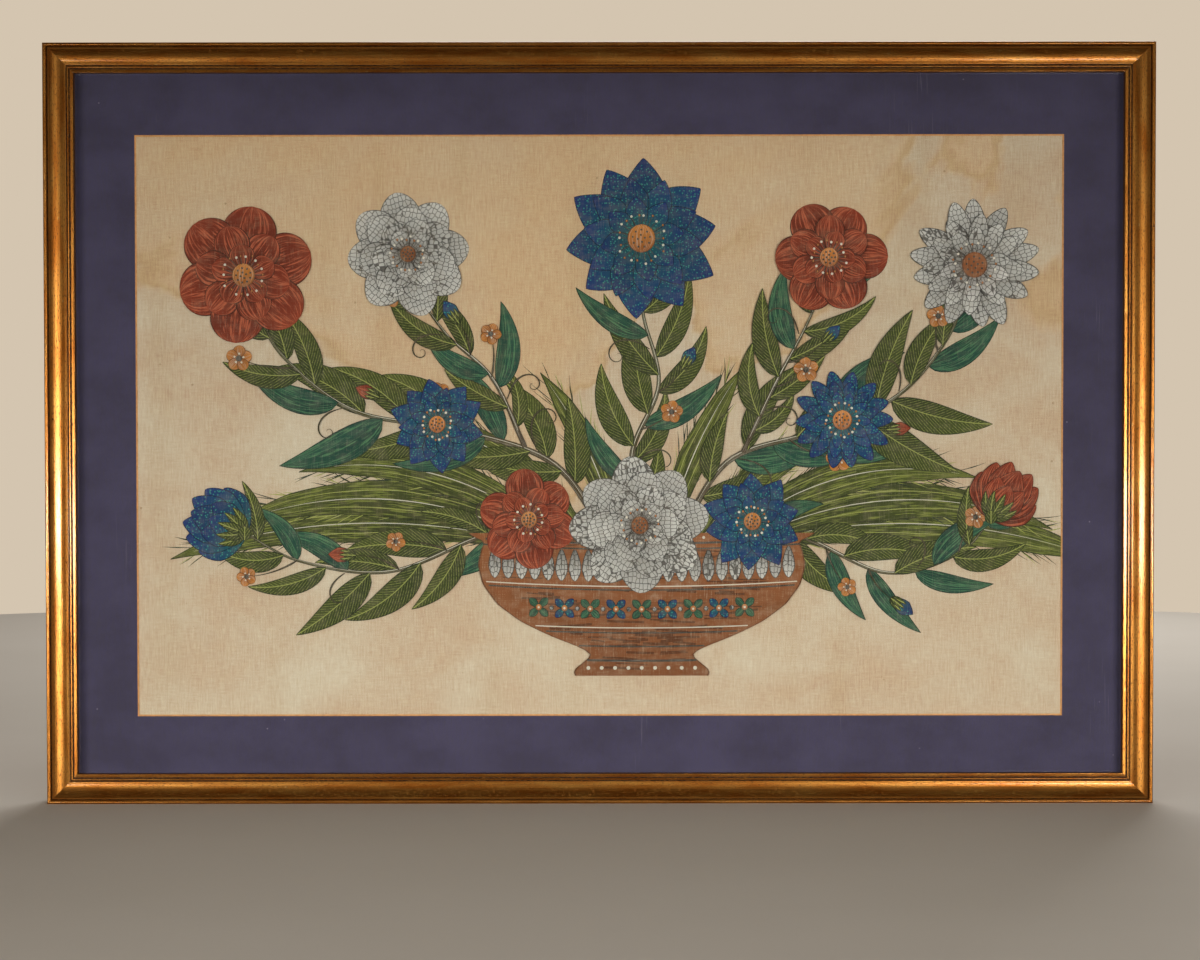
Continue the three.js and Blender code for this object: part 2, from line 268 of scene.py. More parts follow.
@dataclass(frozen=True)
class GiltBevelMat:
    """Blue-violet cotton mat board with a window cut on a bevel, the bevel gilded by hand.

    The eye gets a dense matt field with fine paper tooth and slight clouding, and one thin warm line
    round the picture.
    """

    name: str = "blue-violet mat board with a gilt bevel"
    face: str = "#4d4864"
    cloud: str = "#443f57"
    dust: str = "#b8b0c1"
    gilt: str = "#f2b678"
    gilt_shadow: str = "#cf9258"
    tooth: Grain = (1.3, 1.3, 1.3)
    fibre: Grain = (1.0, 1.0, 9.0)
    clouding: Grain = (60.0, 60.0, 45.0)
    speck: Grain = (31.0, 31.0, 31.0)
    rubbed_place: Grain = (60, 1000, 150)
    rub: Grain = (1.6, 1000, 60)
    brushing: Grain = (5.0, 5.0, 5.0)
    window: tuple[float, float] = (0.970, 0.608)
    centre: float = -0.386

    def make(self) -> bpy.types.Material:
        """Build the material."""
        material, tree = fresh_material(self.name)
        x, _, z = add(tree, "SeparateXYZ", add(tree, "TexCoord", out="Object")).node.outputs
        past_x = add(tree, "Math SUBTRACT", add(tree, "Math ABSOLUTE", x), self.window[0] / 2)
        from_centre = add(tree, "Math ABSOLUTE", add(tree, "Math SUBTRACT", z, self.centre))
        past_z = add(tree, "Math SUBTRACT", from_centre, self.window[1] / 2)
        bevel = add(tree, "Math LESS_THAN", add(tree, "Math MAXIMUM", past_x, past_z), 0.02 * MM)
        tooth = add(tree, "TexNoise", size=self.tooth, Detail=3.0, Roughness=0.65)
        fibre = add(tree, "TexNoise", size=self.fibre, Detail=2.0)
        clouds = add(tree, "TexNoise", size=self.clouding, Detail=6.0, Roughness=0.62)
        clouds = add(tree, "ValToRGB", clouds, ramp=((0.35, 0.0), (0.65, 1.0)))
        board = add(tree, "Mix RGBA", clouds, linear(self.face), linear(self.cloud))
        paper = add(tree, "CombineColor", tooth, tooth, fibre)
        board = add(tree, "Mix RGBA", 0.22, board, paper, blend_type="OVERLAY")
        dust = add(tree, "TexVoronoi", size=self.speck)
        dust = add(tree, "ValToRGB", dust, ramp=((0.016, 0.4), (0.03, 0.0)))
        board = add(tree, "Mix RGBA", dust, board, linear(self.dust))
        # Faint upright rubs, in a few places only.
        rubs = add(tree, "TexNoise", size=self.rub, Detail=2.0, Distortion=0.3)
        rubs = add(tree, "ValToRGB", rubs, ramp=((0.62, 0.0), (0.76, 0.2)))
        places = add(tree, "TexNoise", size=self.rubbed_place, Detail=1.0)
        places = add(tree, "ValToRGB", places, ramp=((0.62, 0.0), (0.74, 1.0)))
        rubs = add(tree, "Math MULTIPLY", rubs, places)
        board = add(tree, "Mix RGBA", rubs, board, linear(self.dust))
        brushed = add(tree, "TexNoise", size=self.brushing, Detail=3.0)
        brushed = add(tree, "ValToRGB", brushed, ramp=((0.4, 0.0), (0.7, 0.7)))
        gilding = add(tree, "Mix RGBA", brushed, linear(self.gilt), linear(self.gilt_shadow))
        colour = add(tree, "Mix RGBA", bevel, board, gilding)
        metal = add(tree, "Math MULTIPLY", bevel, 0.1)
        rough = add(tree, "Math MULTIPLY_ADD", bevel, -0.45, 0.93)
        bump = add(tree, "Bump", Height=tooth, Distance=0.05 * MM)
        shader = add(tree, "BsdfPrincipled", Base_Color=colour, Metallic=metal, Roughness=rough, Normal=bump)
        add(tree, "OutputMaterial", Surface=shader)
        return material


@dataclass(frozen=True)
class OldCotton:
    """Plain-woven unbleached cotton, sized and aged to tan, with tide marks and foxing.

    The eye gets fine upright slubs crossed by a weaker weft, pale and dark clouds with soft edges, a
    yellower tone towards the top that gives way to a pale right end, and small brown spots. The real
    threads are 0.4 mm apart, too fine to show, so they are drawn 1.4 mm apart.
    """

    base: str = "#d0b79c"
    pale: str = "#dccfb9"
    aged: str = "#dcbb93"
    dark: str = "#b9976a"
    spot: str = "#927249"
    warp: Grain = (1.4, 1000.0, 18.0)
    weft: Grain = (13.0, 1000.0, 1.26)
    cloud: Grain = (120.0, 1000.0, 90.0)
    wash: Grain = (380.0, 1000.0, 300.0)
    band: Grain = (60.0, 1000.0, 520.0)
    small_foxing: Grain = (14, 14, 14)
    foxing: Grain = (44, 44, 44)
    relief: float = 0.18 * MM
    top: float = -0.10
    bottom: float = -0.52
    pale_from: float = 0.21
    pale_to: float = 0.45

    def ground(self, tree: Tree) -> tuple[Socket, Socket]:
        """Lay the cloth's colour and its height.

        Args:
            tree: The material's tree.

        Returns:
            The colour, and the height of the weave from 0 to 1.
        """
        warp = add(tree, "TexNoise", size=self.warp, Detail=4.0, Roughness=0.68)
        weft = add(tree, "TexNoise", size=self.weft, Detail=2.0, Roughness=0.55)
        clouds = add(tree, "TexNoise", size=self.cloud, Detail=7.0, Roughness=0.62, Distortion=0.4)
        washes = add(tree, "TexNoise", size=self.wash, Detail=5.0, Roughness=0.5, Distortion=0.8)
        bands = add(tree, "TexNoise", size=self.band, Detail=3.0)
        shade = add(tree, "ValToRGB", clouds, ramp=((0.34, 0.0), (0.64, 1.0)))
        colour = add(tree, "Mix RGBA", shade, linear(self.pale), linear(self.base))
        x, _, z = add(tree, "SeparateXYZ", add(tree, "TexCoord", out="Object")).node.outputs
        height = add(tree, "MapRange", z, self.bottom, self.top)
        pale_end = add(tree, "MapRange", x, self.pale_from, self.pale_to)
        # Ageing lies in wide patches that join up towards the top, each a little darker along its edge. They
        # stop short of the right end, which stays pale.
        reach = add(tree, "Math MULTIPLY_ADD", height, 0.15, add(tree, "Math SUBTRACT", washes, 0.05))
        reach = add(tree, "Math MULTIPLY_ADD", pale_end, -0.18, reach)
        age = add(tree, "ValToRGB", reach, ramp=((0.495, 0.08), (0.520, 0.84), (0.57, 0.55), (0.70, 0.88)))
        colour = add(tree, "Mix RGBA", age, colour, linear(self.aged))
        edge = add(tree, "ValToRGB", reach, ramp=((0.505, 0.0), (0.518, 0.38), (0.54, 0.0)))
        colour = add(tree, "Mix RGBA", edge, colour, linear(self.dark))
        band = add(tree, "ValToRGB", bands, ramp=((0.54, 0.0), (0.70, 0.18)))
        colour = add(tree, "Mix RGBA", band, colour, linear(self.dark))
        weave = add(tree, "Math MULTIPLY_ADD", warp, 0.68, add(tree, "Math MULTIPLY", weft, 0.32))
        tone = add(tree, "ValToRGB", weave, ramp=((0.36, 0.30), (0.64, 0.70)))
        colour = add(tree, "Mix RGBA", 0.5, colour, tone, blend_type="OVERLAY")
        large = add(tree, "TexVoronoi", size=self.foxing)
        large = add(tree, "ValToRGB", large, ramp=((0.018, 0.5), (0.034, 0.0)))
        small = add(tree, "TexVoronoi", size=self.small_foxing)
        small = add(tree, "ValToRGB", small, ramp=((0.022, 0.55), (0.045, 0.0)))
        foxing = add(tree, "Math MAXIMUM", large, small)
        return add(tree, "Mix RGBA", foxing, colour, linear(self.spot)), weave

    def make(self) -> bpy.types.Material:
        """Build the bare cloth's material."""
        material, tree = fresh_material("unbleached plain-woven cotton, aged")
        colour, weave = self.ground(tree)
        bump = add(tree, "Bump", Height=weave, Distance=self.relief)
        shader = add(tree, "BsdfPrincipled", Base_Color=colour, Roughness=0.95, Normal=bump,
                     Sheen_Weight=0.15, Sheen_Roughness=0.5)
        add(tree, "OutputMaterial", Surface=shader)
        return material


class Hand(Enum):
    """The way a painter fills a shape."""

    WASH = "thin wash with brush streaks"
    FLOW = "fine strokes that run with the shape"
    VEINS = "a midrib with slanting side veins"
    SCALES = "pen-drawn scales"
    STIPPLE = "small dots"
    SOLID = "one even stroke"


@dataclass(frozen=True)
class Gouache:
    """Gouache brushed on sized cotton in one coat, so that the weave shows through.

    The eye gets flat matt colour with a darker drawn edge, thin where the brush ran dry. The mesh carries
    "stroke" (along, across, tone) and "reach" (across from -1 to 1, along from 0 to 1, half-width), all
    lengths in metres.
    """

    name: str
    root: str
    tip: str
    pen: str
    hand: Hand
    cotton: OldCotton
    mark: str = "#e9e7df"
    cover: float = 0.92
    outline: float = 1.1
    pitch: float = 2.2
    shade: float = 0.0

    def marks(self, tree: Tree, along: Socket, across: Socket, side: Socket, tone: Socket) -> Socket:
        """Where the painter's finer strokes lie.

        Args:
            tree: The material's tree.
            along: Distance from the shape's root in metres.
            across: Distance from its spine in metres.
            side: Place across, from -1 to 1.
            tone: A number that differs for each shape.

        Returns:
            1 on a stroke and 0 between strokes.
        """
        local = add(tree, "CombineXYZ", along, across, add(tree, "Math MULTIPLY", tone, 0.5))
        if self.hand is Hand.SCALES:
            scale = add(tree, "TexVoronoi", local, size=(self.pitch * 1.35, self.pitch, 50), Randomness=0.5,
                        feature="DISTANCE_TO_EDGE")
            return add(tree, "ValToRGB", scale, ramp=((0.04, 1.0), (0.09, 0.0)))
        if self.hand is Hand.STIPPLE:
            dots = add(tree, "TexVoronoi", local, size=(self.pitch,) * 3)
            return add(tree, "ValToRGB", dots, ramp=((0.19, 1.0), (0.34, 0.0)))
        if self.hand is Hand.VEINS:
            slant = add(tree, "Math MULTIPLY_ADD", add(tree, "Math ABSOLUTE", across), -1.5, along)
            wave = add(tree, "Math FRACT", add(tree, "Math DIVIDE", slant, self.pitch * MM))
            vein = add(tree, "Math ABSOLUTE", add(tree, "Math SUBTRACT", wave, 0.5))
            vein = add(tree, "ValToRGB", vein, ramp=((0.05, 0.8), (0.12, 0.0)))
            dry = add(tree, "TexNoise", local, size=(3, 3, 50))
            dry = add(tree, "ValToRGB", dry, ramp=((0.38, 0.2), (0.55, 1.0)))
            rib = add(tree, "Math ABSOLUTE", add(tree, "Math DIVIDE", across, 2 * MM))
            rib = add(tree, "ValToRGB", rib, ramp=((0.16, 1.0), (0.30, 0.0)))
            return add(tree, "Math MAXIMUM", add(tree, "Math MULTIPLY", vein, dry), rib)
        flow = add(tree, "CombineXYZ", along, add(tree, "Math MULTIPLY", side, 9 * MM), tone)
        width = {Hand.WASH: 1.7, Hand.FLOW: 0.75, Hand.SOLID: 1.2}[self.hand]
        hairs = add(tree, "TexNoise", flow, size=(22, width, 0.11), Detail=2.0, Roughness=0.6)
        return add(tree, "ValToRGB", hairs, ramp=((0.50, 0.0), (0.62, 1.0)))

    def make(self) -> bpy.types.Material:
        """Build the material."""
        material, tree = fresh_material(self.name)
        ground, weave = self.cotton.ground(tree)
        pen = linear(self.pen)
        stroke = add(tree, "Attribute", out="Vector", attribute_name="stroke")
        reach = add(tree, "Attribute", out="Vector", attribute_name="reach")
        along, across, tone = add(tree, "SeparateXYZ", stroke).node.outputs
        side, run, half = add(tree, "SeparateXYZ", reach).node.outputs
        body = add(tree, "Mix RGBA", run, linear(self.root), linear(self.tip))
        body = add(tree, "Mix RGBA", add(tree, "Math MULTIPLY", tone, 0.45), body, pen)
        halves = add(tree, "Math MULTIPLY_ADD", side, 0.5, 0.5)
        halves = add(tree, "ValToRGB", halves, ramp=((0.46, 0.0), (0.54, self.shade)))
        body = add(tree, "Mix RGBA", halves, body, pen)
        strength = {Hand.WASH: 0.35, Hand.SOLID: 0.25}.get(self.hand, 0.85)
        fine = add(tree, "Math MULTIPLY", self.marks(tree, along, across, side, tone), strength)
        colour = add(tree, "Mix RGBA", fine, body, linear(self.mark))
        edge = add(tree, "Math SUBTRACT", 1.0, add(tree, "Math ABSOLUTE", side))
        edge = add(tree, "Math DIVIDE", add(tree, "Math MULTIPLY", edge, half), 4 * MM)
        rim = add(tree, "ValToRGB", edge, ramp=((self.outline * 0.14, 0.85), (self.outline * 0.26, 0.0)))
        colour = add(tree, "Mix RGBA", rim, colour, pen)
        # The coat is thinnest on the high threads and where the brush ran dry.
        dry = add(tree, "TexNoise", size=(16, 16, 9), Detail=4.0, Roughness=0.6)
        dry = add(tree, "ValToRGB", dry, ramp=((0.45, 0.0), (0.72, 1 - self.cover)))
        high = add(tree, "ValToRGB", weave, ramp=((0.52, 0.0), (0.64, (1 - self.cover) * 1.4)))
        show = add(tree, "Math ADD", dry, high, use_clamp=True)
        colour = add(tree, "Mix RGBA", show, colour, ground)
        bump = add(tree, "Bump", Height=add(tree, "Math MULTIPLY_ADD", fine, 0.2, weave), Distance=0.2 * MM)
        shader = add(tree, "BsdfPrincipled", Base_Color=colour, Roughness=0.88, Normal=bump)
        add(tree, "OutputMaterial", Surface=shader)
        return material


@dataclass(frozen=True)
class CreamBoard:
    """Cream wood-pulp mount board: matt, faintly mottled, with short fibres."""

    name: str = "cream mount board"
    face: str = "#ded5bf"
    fibre: str = "#c8bc9f"
    grain: Grain = (0.8, 0.8, 4.0)

    def make(self) -> bpy.types.Material:
        """Build the material."""
        material, tree = fresh_material(self.name)
        fibres = add(tree, "TexNoise", size=self.grain, Detail=3.0)
        shade = add(tree, "ValToRGB", fibres, ramp=((0.4, 0.0), (0.7, 0.7)))
        colour = add(tree, "Mix RGBA", shade, linear(self.face), linear(self.fibre))
        bump = add(tree, "Bump", Height=fibres, Distance=0.05 * MM)
        shader = add(tree, "BsdfPrincipled", Base_Color=colour, Roughness=0.9, Normal=bump)
        add(tree, "OutputMaterial", Surface=shader)
        return material


@dataclass(frozen=True)
class Hardboard:
    """Wet-process hardboard, smooth side out: brown pressed fibre with dark flecks and a low gloss."""

    name: str = "pressed hardboard, smooth side"
    face: str = "#7b5230"
    fleck: str = "#4c2f19"
    pale: str = "#94693f"
    clouding: Grain = (210, 210, 210)
    grain: Grain = (1.8, 1.8, 1.8)
    rub: Grain = (240, 240, 6)

    def make(self) -> bpy.types.Material:
        """Build the material."""
        material, tree = fresh_material(self.name)
        clouds = add(tree, "TexNoise", size=self.clouding, Detail=4.0)
        clouds = add(tree, "ValToRGB", clouds, ramp=((0.35, 0.0), (0.65, 0.35)))
        fibres = add(tree, "TexNoise", size=self.grain, Detail=4.0, Roughness=0.7)
        colour = add(tree, "Mix RGBA", clouds, linear(self.face), linear(self.pale))
        flecks = add(tree, "ValToRGB", fibres, ramp=((0.5, 0.0), (0.68, 0.8)))
        colour = add(tree, "Mix RGBA", flecks, colour, linear(self.fleck))
        rub = add(tree, "TexNoise", size=self.rub, Detail=2.0)
        rough = add(tree, "ValToRGB", rub, ramp=((0.4, 0.46), (0.65, 0.62)))
        bump = add(tree, "Bump", Height=fibres, Distance=0.06 * MM)
        shader = add(tree, "BsdfPrincipled", Base_Color=colour, Roughness=rough, Normal=bump)
        add(tree, "OutputMaterial", Surface=shader)
        return material


@dataclass(frozen=True)
class KraftTape:
    """Gummed kraft paper, machine ribbed and put on wet: brown, with fine ribs and cockled wrinkles."""

    name: str = "gummed kraft paper, cockled"
    face: str = "#a9814f"
    worn: str = "#8a6539"
    fibre: str = "#6b4a26"
    rib: Grain = (60, 0.9, 1000)
    wrinkle: Grain = (9, 16, 1000)
    grain: Grain = (2, 0.8, 1000)

    def make(self) -> bpy.types.Material:
        """Build the material."""
        material, tree = fresh_material(self.name)
        place = add(tree, "Attribute", out="Vector", attribute_name="place")
        ribs = add(tree, "TexNoise", place, size=self.rib, Detail=1.0)
        cockle = add(tree, "TexNoise", place, size=self.wrinkle, Detail=3.0, Distortion=1.0)
        fibre = add(tree, "TexNoise", place, size=self.grain, Detail=3.0)
        worn = add(tree, "ValToRGB", cockle, ramp=((0.4, 0.0), (0.7, 0.8)))
        colour = add(tree, "Mix RGBA", worn, linear(self.face), linear(self.worn))
        dark = add(tree, "ValToRGB", fibre, ramp=((0.52, 0.0), (0.7, 0.35)))
        colour = add(tree, "Mix RGBA", dark, colour, linear(self.fibre))
        bump = add(tree, "Bump", Height=add(tree, "Math MULTIPLY_ADD", ribs, 0.2, cockle), Distance=0.35 * MM)
        shader = add(tree, "BsdfPrincipled", Base_Color=colour, Roughness=0.62, Normal=bump)
        add(tree, "OutputMaterial", Surface=shader)
        return material


@dataclass(frozen=True)
class PressedFelt:
    """Pressed wool felt: dark grey, matt, with loose hairs and pills of lint."""

    name: str = "pressed wool felt"
    wool: str = "#3a3735"
    lint: str = "#6c6763"
    nap: Grain = (1.2, 1.2, 1.2)

    def make(self) -> bpy.types.Material:
        """Build the material."""
        material, tree = fresh_material(self.name)
        nap = add(tree, "TexNoise", size=self.nap, Detail=4.0, Roughness=0.75, Distortion=0.8)
        pills = add(tree, "ValToRGB", nap, ramp=((0.5, 0.0), (0.72, 1.0)))
        colour = add(tree, "Mix RGBA", pills, linear(self.wool), linear(self.lint))
        bump = add(tree, "Bump", Height=nap, Distance=0.6 * MM)
        shader = add(tree, "BsdfPrincipled", Base_Color=colour, Roughness=1.0, Normal=bump, Sheen_Weight=0.6,
                     Sheen_Roughness=0.6)
        add(tree, "OutputMaterial", Surface=shader)
        return material


@dataclass(frozen=True)
class PlatedBrass:
    """Brass-plated steel, tumbled and dulled: yellow metal with fine scuffs and brown tarnish."""

    name: str = "tumbled brass plating, dulled"
    metal: str = "#b8924a"
    tarnish: str = "#5c4424"
    bloom: Grain = (4, 4, 4)
    scuff: Grain = (0.4, 0.4, 5)

    def make(self) -> bpy.types.Material:
        """Build the material."""
        material, tree = fresh_material(self.name)
        bloom = add(tree, "TexNoise", size=self.bloom, Detail=4.0)
        scuff = add(tree, "TexNoise", size=self.scuff, Detail=2.0)
        dull = add(tree, "ValToRGB", bloom, ramp=((0.45, 0.0), (0.72, 0.85)))
        colour = add(tree, "Mix RGBA", dull, linear(self.metal), linear(self.tarnish))
        rough = add(tree, "Math MULTIPLY_ADD", bloom, 0.35, 0.16)
        bump = add(tree, "Bump", Height=scuff, Distance=0.03 * MM)
        shader = add(tree, "BsdfPrincipled", Base_Color=colour, Metallic=1.0, Roughness=rough, Normal=bump)
        add(tree, "OutputMaterial", Surface=shader)
        return material


@dataclass(frozen=True)
class PaleFloor:
    """Matt painted studio floor: one pale warm tone with slight roller mottling."""

    name: str = "matt pale studio paint"
    paint: str = "#d8d0c4"
    roller: str = "#cbc2b4"
    mottle: Grain = (300, 300, 300)

    def make(self) -> bpy.types.Material:
        """Build the material."""
        material, tree = fresh_material(self.name)
        shade = add(tree, "TexNoise", size=self.mottle, Detail=3.0)
        shade = add(tree, "ValToRGB", shade, ramp=((0.3, 0.0), (0.7, 0.25)))
        colour = add(tree, "Mix RGBA", shade, linear(self.paint), linear(self.roller))
        add(tree, "OutputMaterial", Surface=add(tree, "BsdfPrincipled", Base_Color=colour, Roughness=0.9))
        return material


# ---------------------------------------------------------------- meshes
def mesh_piece(name: str, points: np.ndarray, faces: list, finishes: Sequence[bpy.types.Material],
               face_finish: np.ndarray | None = None, crease: float = 35.0,
               values: dict[str, np.ndarray] | None = None) -> bpy.types.Object:
    """Make one closed piece.

    Args:
        name: The piece's name.
        points: Vertex positions in metres.
        faces: Vertex numbers of each face.
        finishes: Its materials.
        face_finish: Which material each face has.
        crease: Edges sharper than this many degrees stay sharp.
        values: Vectors that the vertices carry for the material.

    Returns:
        The new object, linked to the scene.
    """
    mesh = bpy.data.meshes.new(name)
    mesh.from_pydata(np.asarray(points, float).tolist(), [], faces)
    for finish in finishes:
        mesh.materials.append(finish)
    if face_finish is not None:
        mesh.polygons.foreach_set("material_index", np.asarray(face_finish, np.int32))
    for label, rows in (values or {}).items():
        layer = mesh.attributes.new(label, "FLOAT_VECTOR", "POINT")
        layer.data.foreach_set("vector", np.asarray(rows, np.float32).ravel())
    shaped = bmesh.new()
    shaped.from_mesh(mesh)
    bmesh.ops.recalc_face_normals(shaped, faces=shaped.faces)
    shaped.to_mesh(mesh)
    shaped.free()
    mesh.polygons.foreach_set("use_smooth", np.ones(len(mesh.polygons), bool))
    mesh.set_sharp_from_angle(angle=math.radians(crease))
    mesh.update()
    piece = bpy.data.objects.new(name, mesh)
    bpy.context.scene.collection.objects.link(piece)
    return piece


def fit(piece: bpy.types.Object, slot: str, *nodes: str) -> bpy.types.Object:
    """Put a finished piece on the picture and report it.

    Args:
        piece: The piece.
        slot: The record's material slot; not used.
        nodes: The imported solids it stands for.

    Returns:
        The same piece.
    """
    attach(piece, BODY)
    if nodes:
        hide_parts(*nodes)
    LOG.info("%s: %d faces, stands for %s", piece.name, len(piece.data.polygons),
             ", ".join(nodes) or "nothing")
    return piece


def coat(node: str, finish: bpy.types.Material) -> None:
    """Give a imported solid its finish.

    Args:
        node: The solid's name.
        finish: Its material.
    """
    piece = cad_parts[node]
    if not piece.data.materials:
        piece.data.materials.append(finish)
    for index in range(len(piece.data.materials)):
        piece.data.materials[index] = finish
    LOG.info("%s: finished in %s", node, finish.name)


def grid_faces(rows: int, columns: int, start: int = 0, closed: bool = False) -> list:
    """Quads of a grid whose vertices are numbered row by row.

    Args:
        rows: Number of rows.
        columns: Number of columns.
        start: Number of the first vertex.
        closed: Joins the last column to the first.

    Returns:
        Vertex numbers of each quad.
    """
    row, column = np.meshgrid(np.arange(rows - 1), np.arange(columns if closed else columns - 1),
                              indexing="ij")
    beside = (column + 1) % columns
    corners = [row * columns + column, row * columns + beside, (row + 1) * columns + beside,
               (row + 1) * columns + column]
    return (np.stack(corners, -1).reshape(-1, 4) + start).tolist()


def sheet_faces(rows: int, columns: int) -> list:
    """Faces of a thin closed sheet: a front grid, a back grid numbered after it, and the rim between them.

    Args:
        rows: Number of rows in each grid.
        columns: Number of columns in each grid.

    Returns:
        Vertex numbers of each face.
    """
    count = rows * columns
    rim = ([*range(columns)] + [r * columns + columns - 1 for r in range(1, rows)]
           + [(rows - 1) * columns + i for i in range(columns - 2, -1, -1)]
           + [r * columns for r in range(rows - 2, 0, -1)])
    return (grid_faces(rows, columns) + grid_faces(rows, columns, start=count)
            + [[a, b, b + count, a + count] for a, b in zip(rim, rim[1:] + rim[:1])])


def towards(heading: float) -> np.ndarray:
    """A step of length 1 in a direction given in degrees from +X."""
    return np.array([math.cos(math.radians(heading)), math.sin(math.radians(heading))])


def bearing(step: np.ndarray) -> float:
    """The direction of a step, in degrees from +X."""
    return math.degrees(math.atan2(step[1], step[0]))


def sway(values: np.ndarray, seed: float, size: float) -> np.ndarray:
    """Slow random drift along a line.

    Args:
        values: Places along the line in metres.
        seed: Picks the drift.
        size: Length of one swing in metres.

    Returns:
        Numbers from about -1 to 1.
    """
    return np.array([noise.noise(Vector((v / size, seed * 7.31, seed * 1.7))) for v in values])


# ---------------------------------------------------------------- the frame
class Edge(Enum):
    """The four sides of the frame: the way along, and the way in."""

    TOP = ((1, 0), (0, -1))
    RIGHT = ((0, -1), (-1, 0))
    BOTTOM = ((-1, 0), (0, 1))
    LEFT = ((0, 1), (1, 0))

    @property
    def word(self) -> str:
        """The side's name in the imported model."""
        return self.name.lower()


@dataclass
class Outline:
    """The frame's outer rectangle and depth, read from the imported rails."""

    left: float = field(init=False)
    right: float = field(init=False)
    top: float = field(init=False)
    bottom: float = field(init=False)
    back: float = field(init=False)
    front: float = field(init=False)

    def __post_init__(self) -> None:
        """Read the rails' boxes."""
        boxes = {edge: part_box(f"rail_{edge.word}") for edge in Edge}
        self.left = boxes[Edge.LEFT][0].x
        self.right = boxes[Edge.RIGHT][1].x
        self.top = boxes[Edge.TOP][1].z
        self.bottom = boxes[Edge.BOTTOM][0].z
        self.back = boxes[Edge.TOP][1].y
        self.front = boxes[Edge.TOP][0].y

    def length(self, edge: Edge) -> float:
        """Outer length of a side in metres."""
        return self.right - self.left if edge in (Edge.TOP, Edge.BOTTOM) else self.top - self.bottom

    def place(self, edge: Edge, along: np.ndarray, inwards: np.ndarray, height: np.ndarray) -> np.ndarray:
        """Turn a side's own measures into positions.

        Args:
            edge: The side.
            along: Distance from its middle.
            inwards: Distance in from the outer edge.
            height: Distance in front of the wood's back.

        Returns:
            Positions, one row each.
        """
        (ax, az), (nx, nz) = edge.value
        middle = {Edge.TOP: (0.0, self.top), Edge.RIGHT: (self.right, (self.top + self.bottom) / 2),
                  Edge.BOTTOM: (0.0, self.bottom), Edge.LEFT: (self.left, (self.top + self.bottom) / 2)}[edge]
        return np.stack([middle[0] + ax * along + nx * inwards, self.back - height,
                         middle[1] + az * along + nz * inwards], -1)


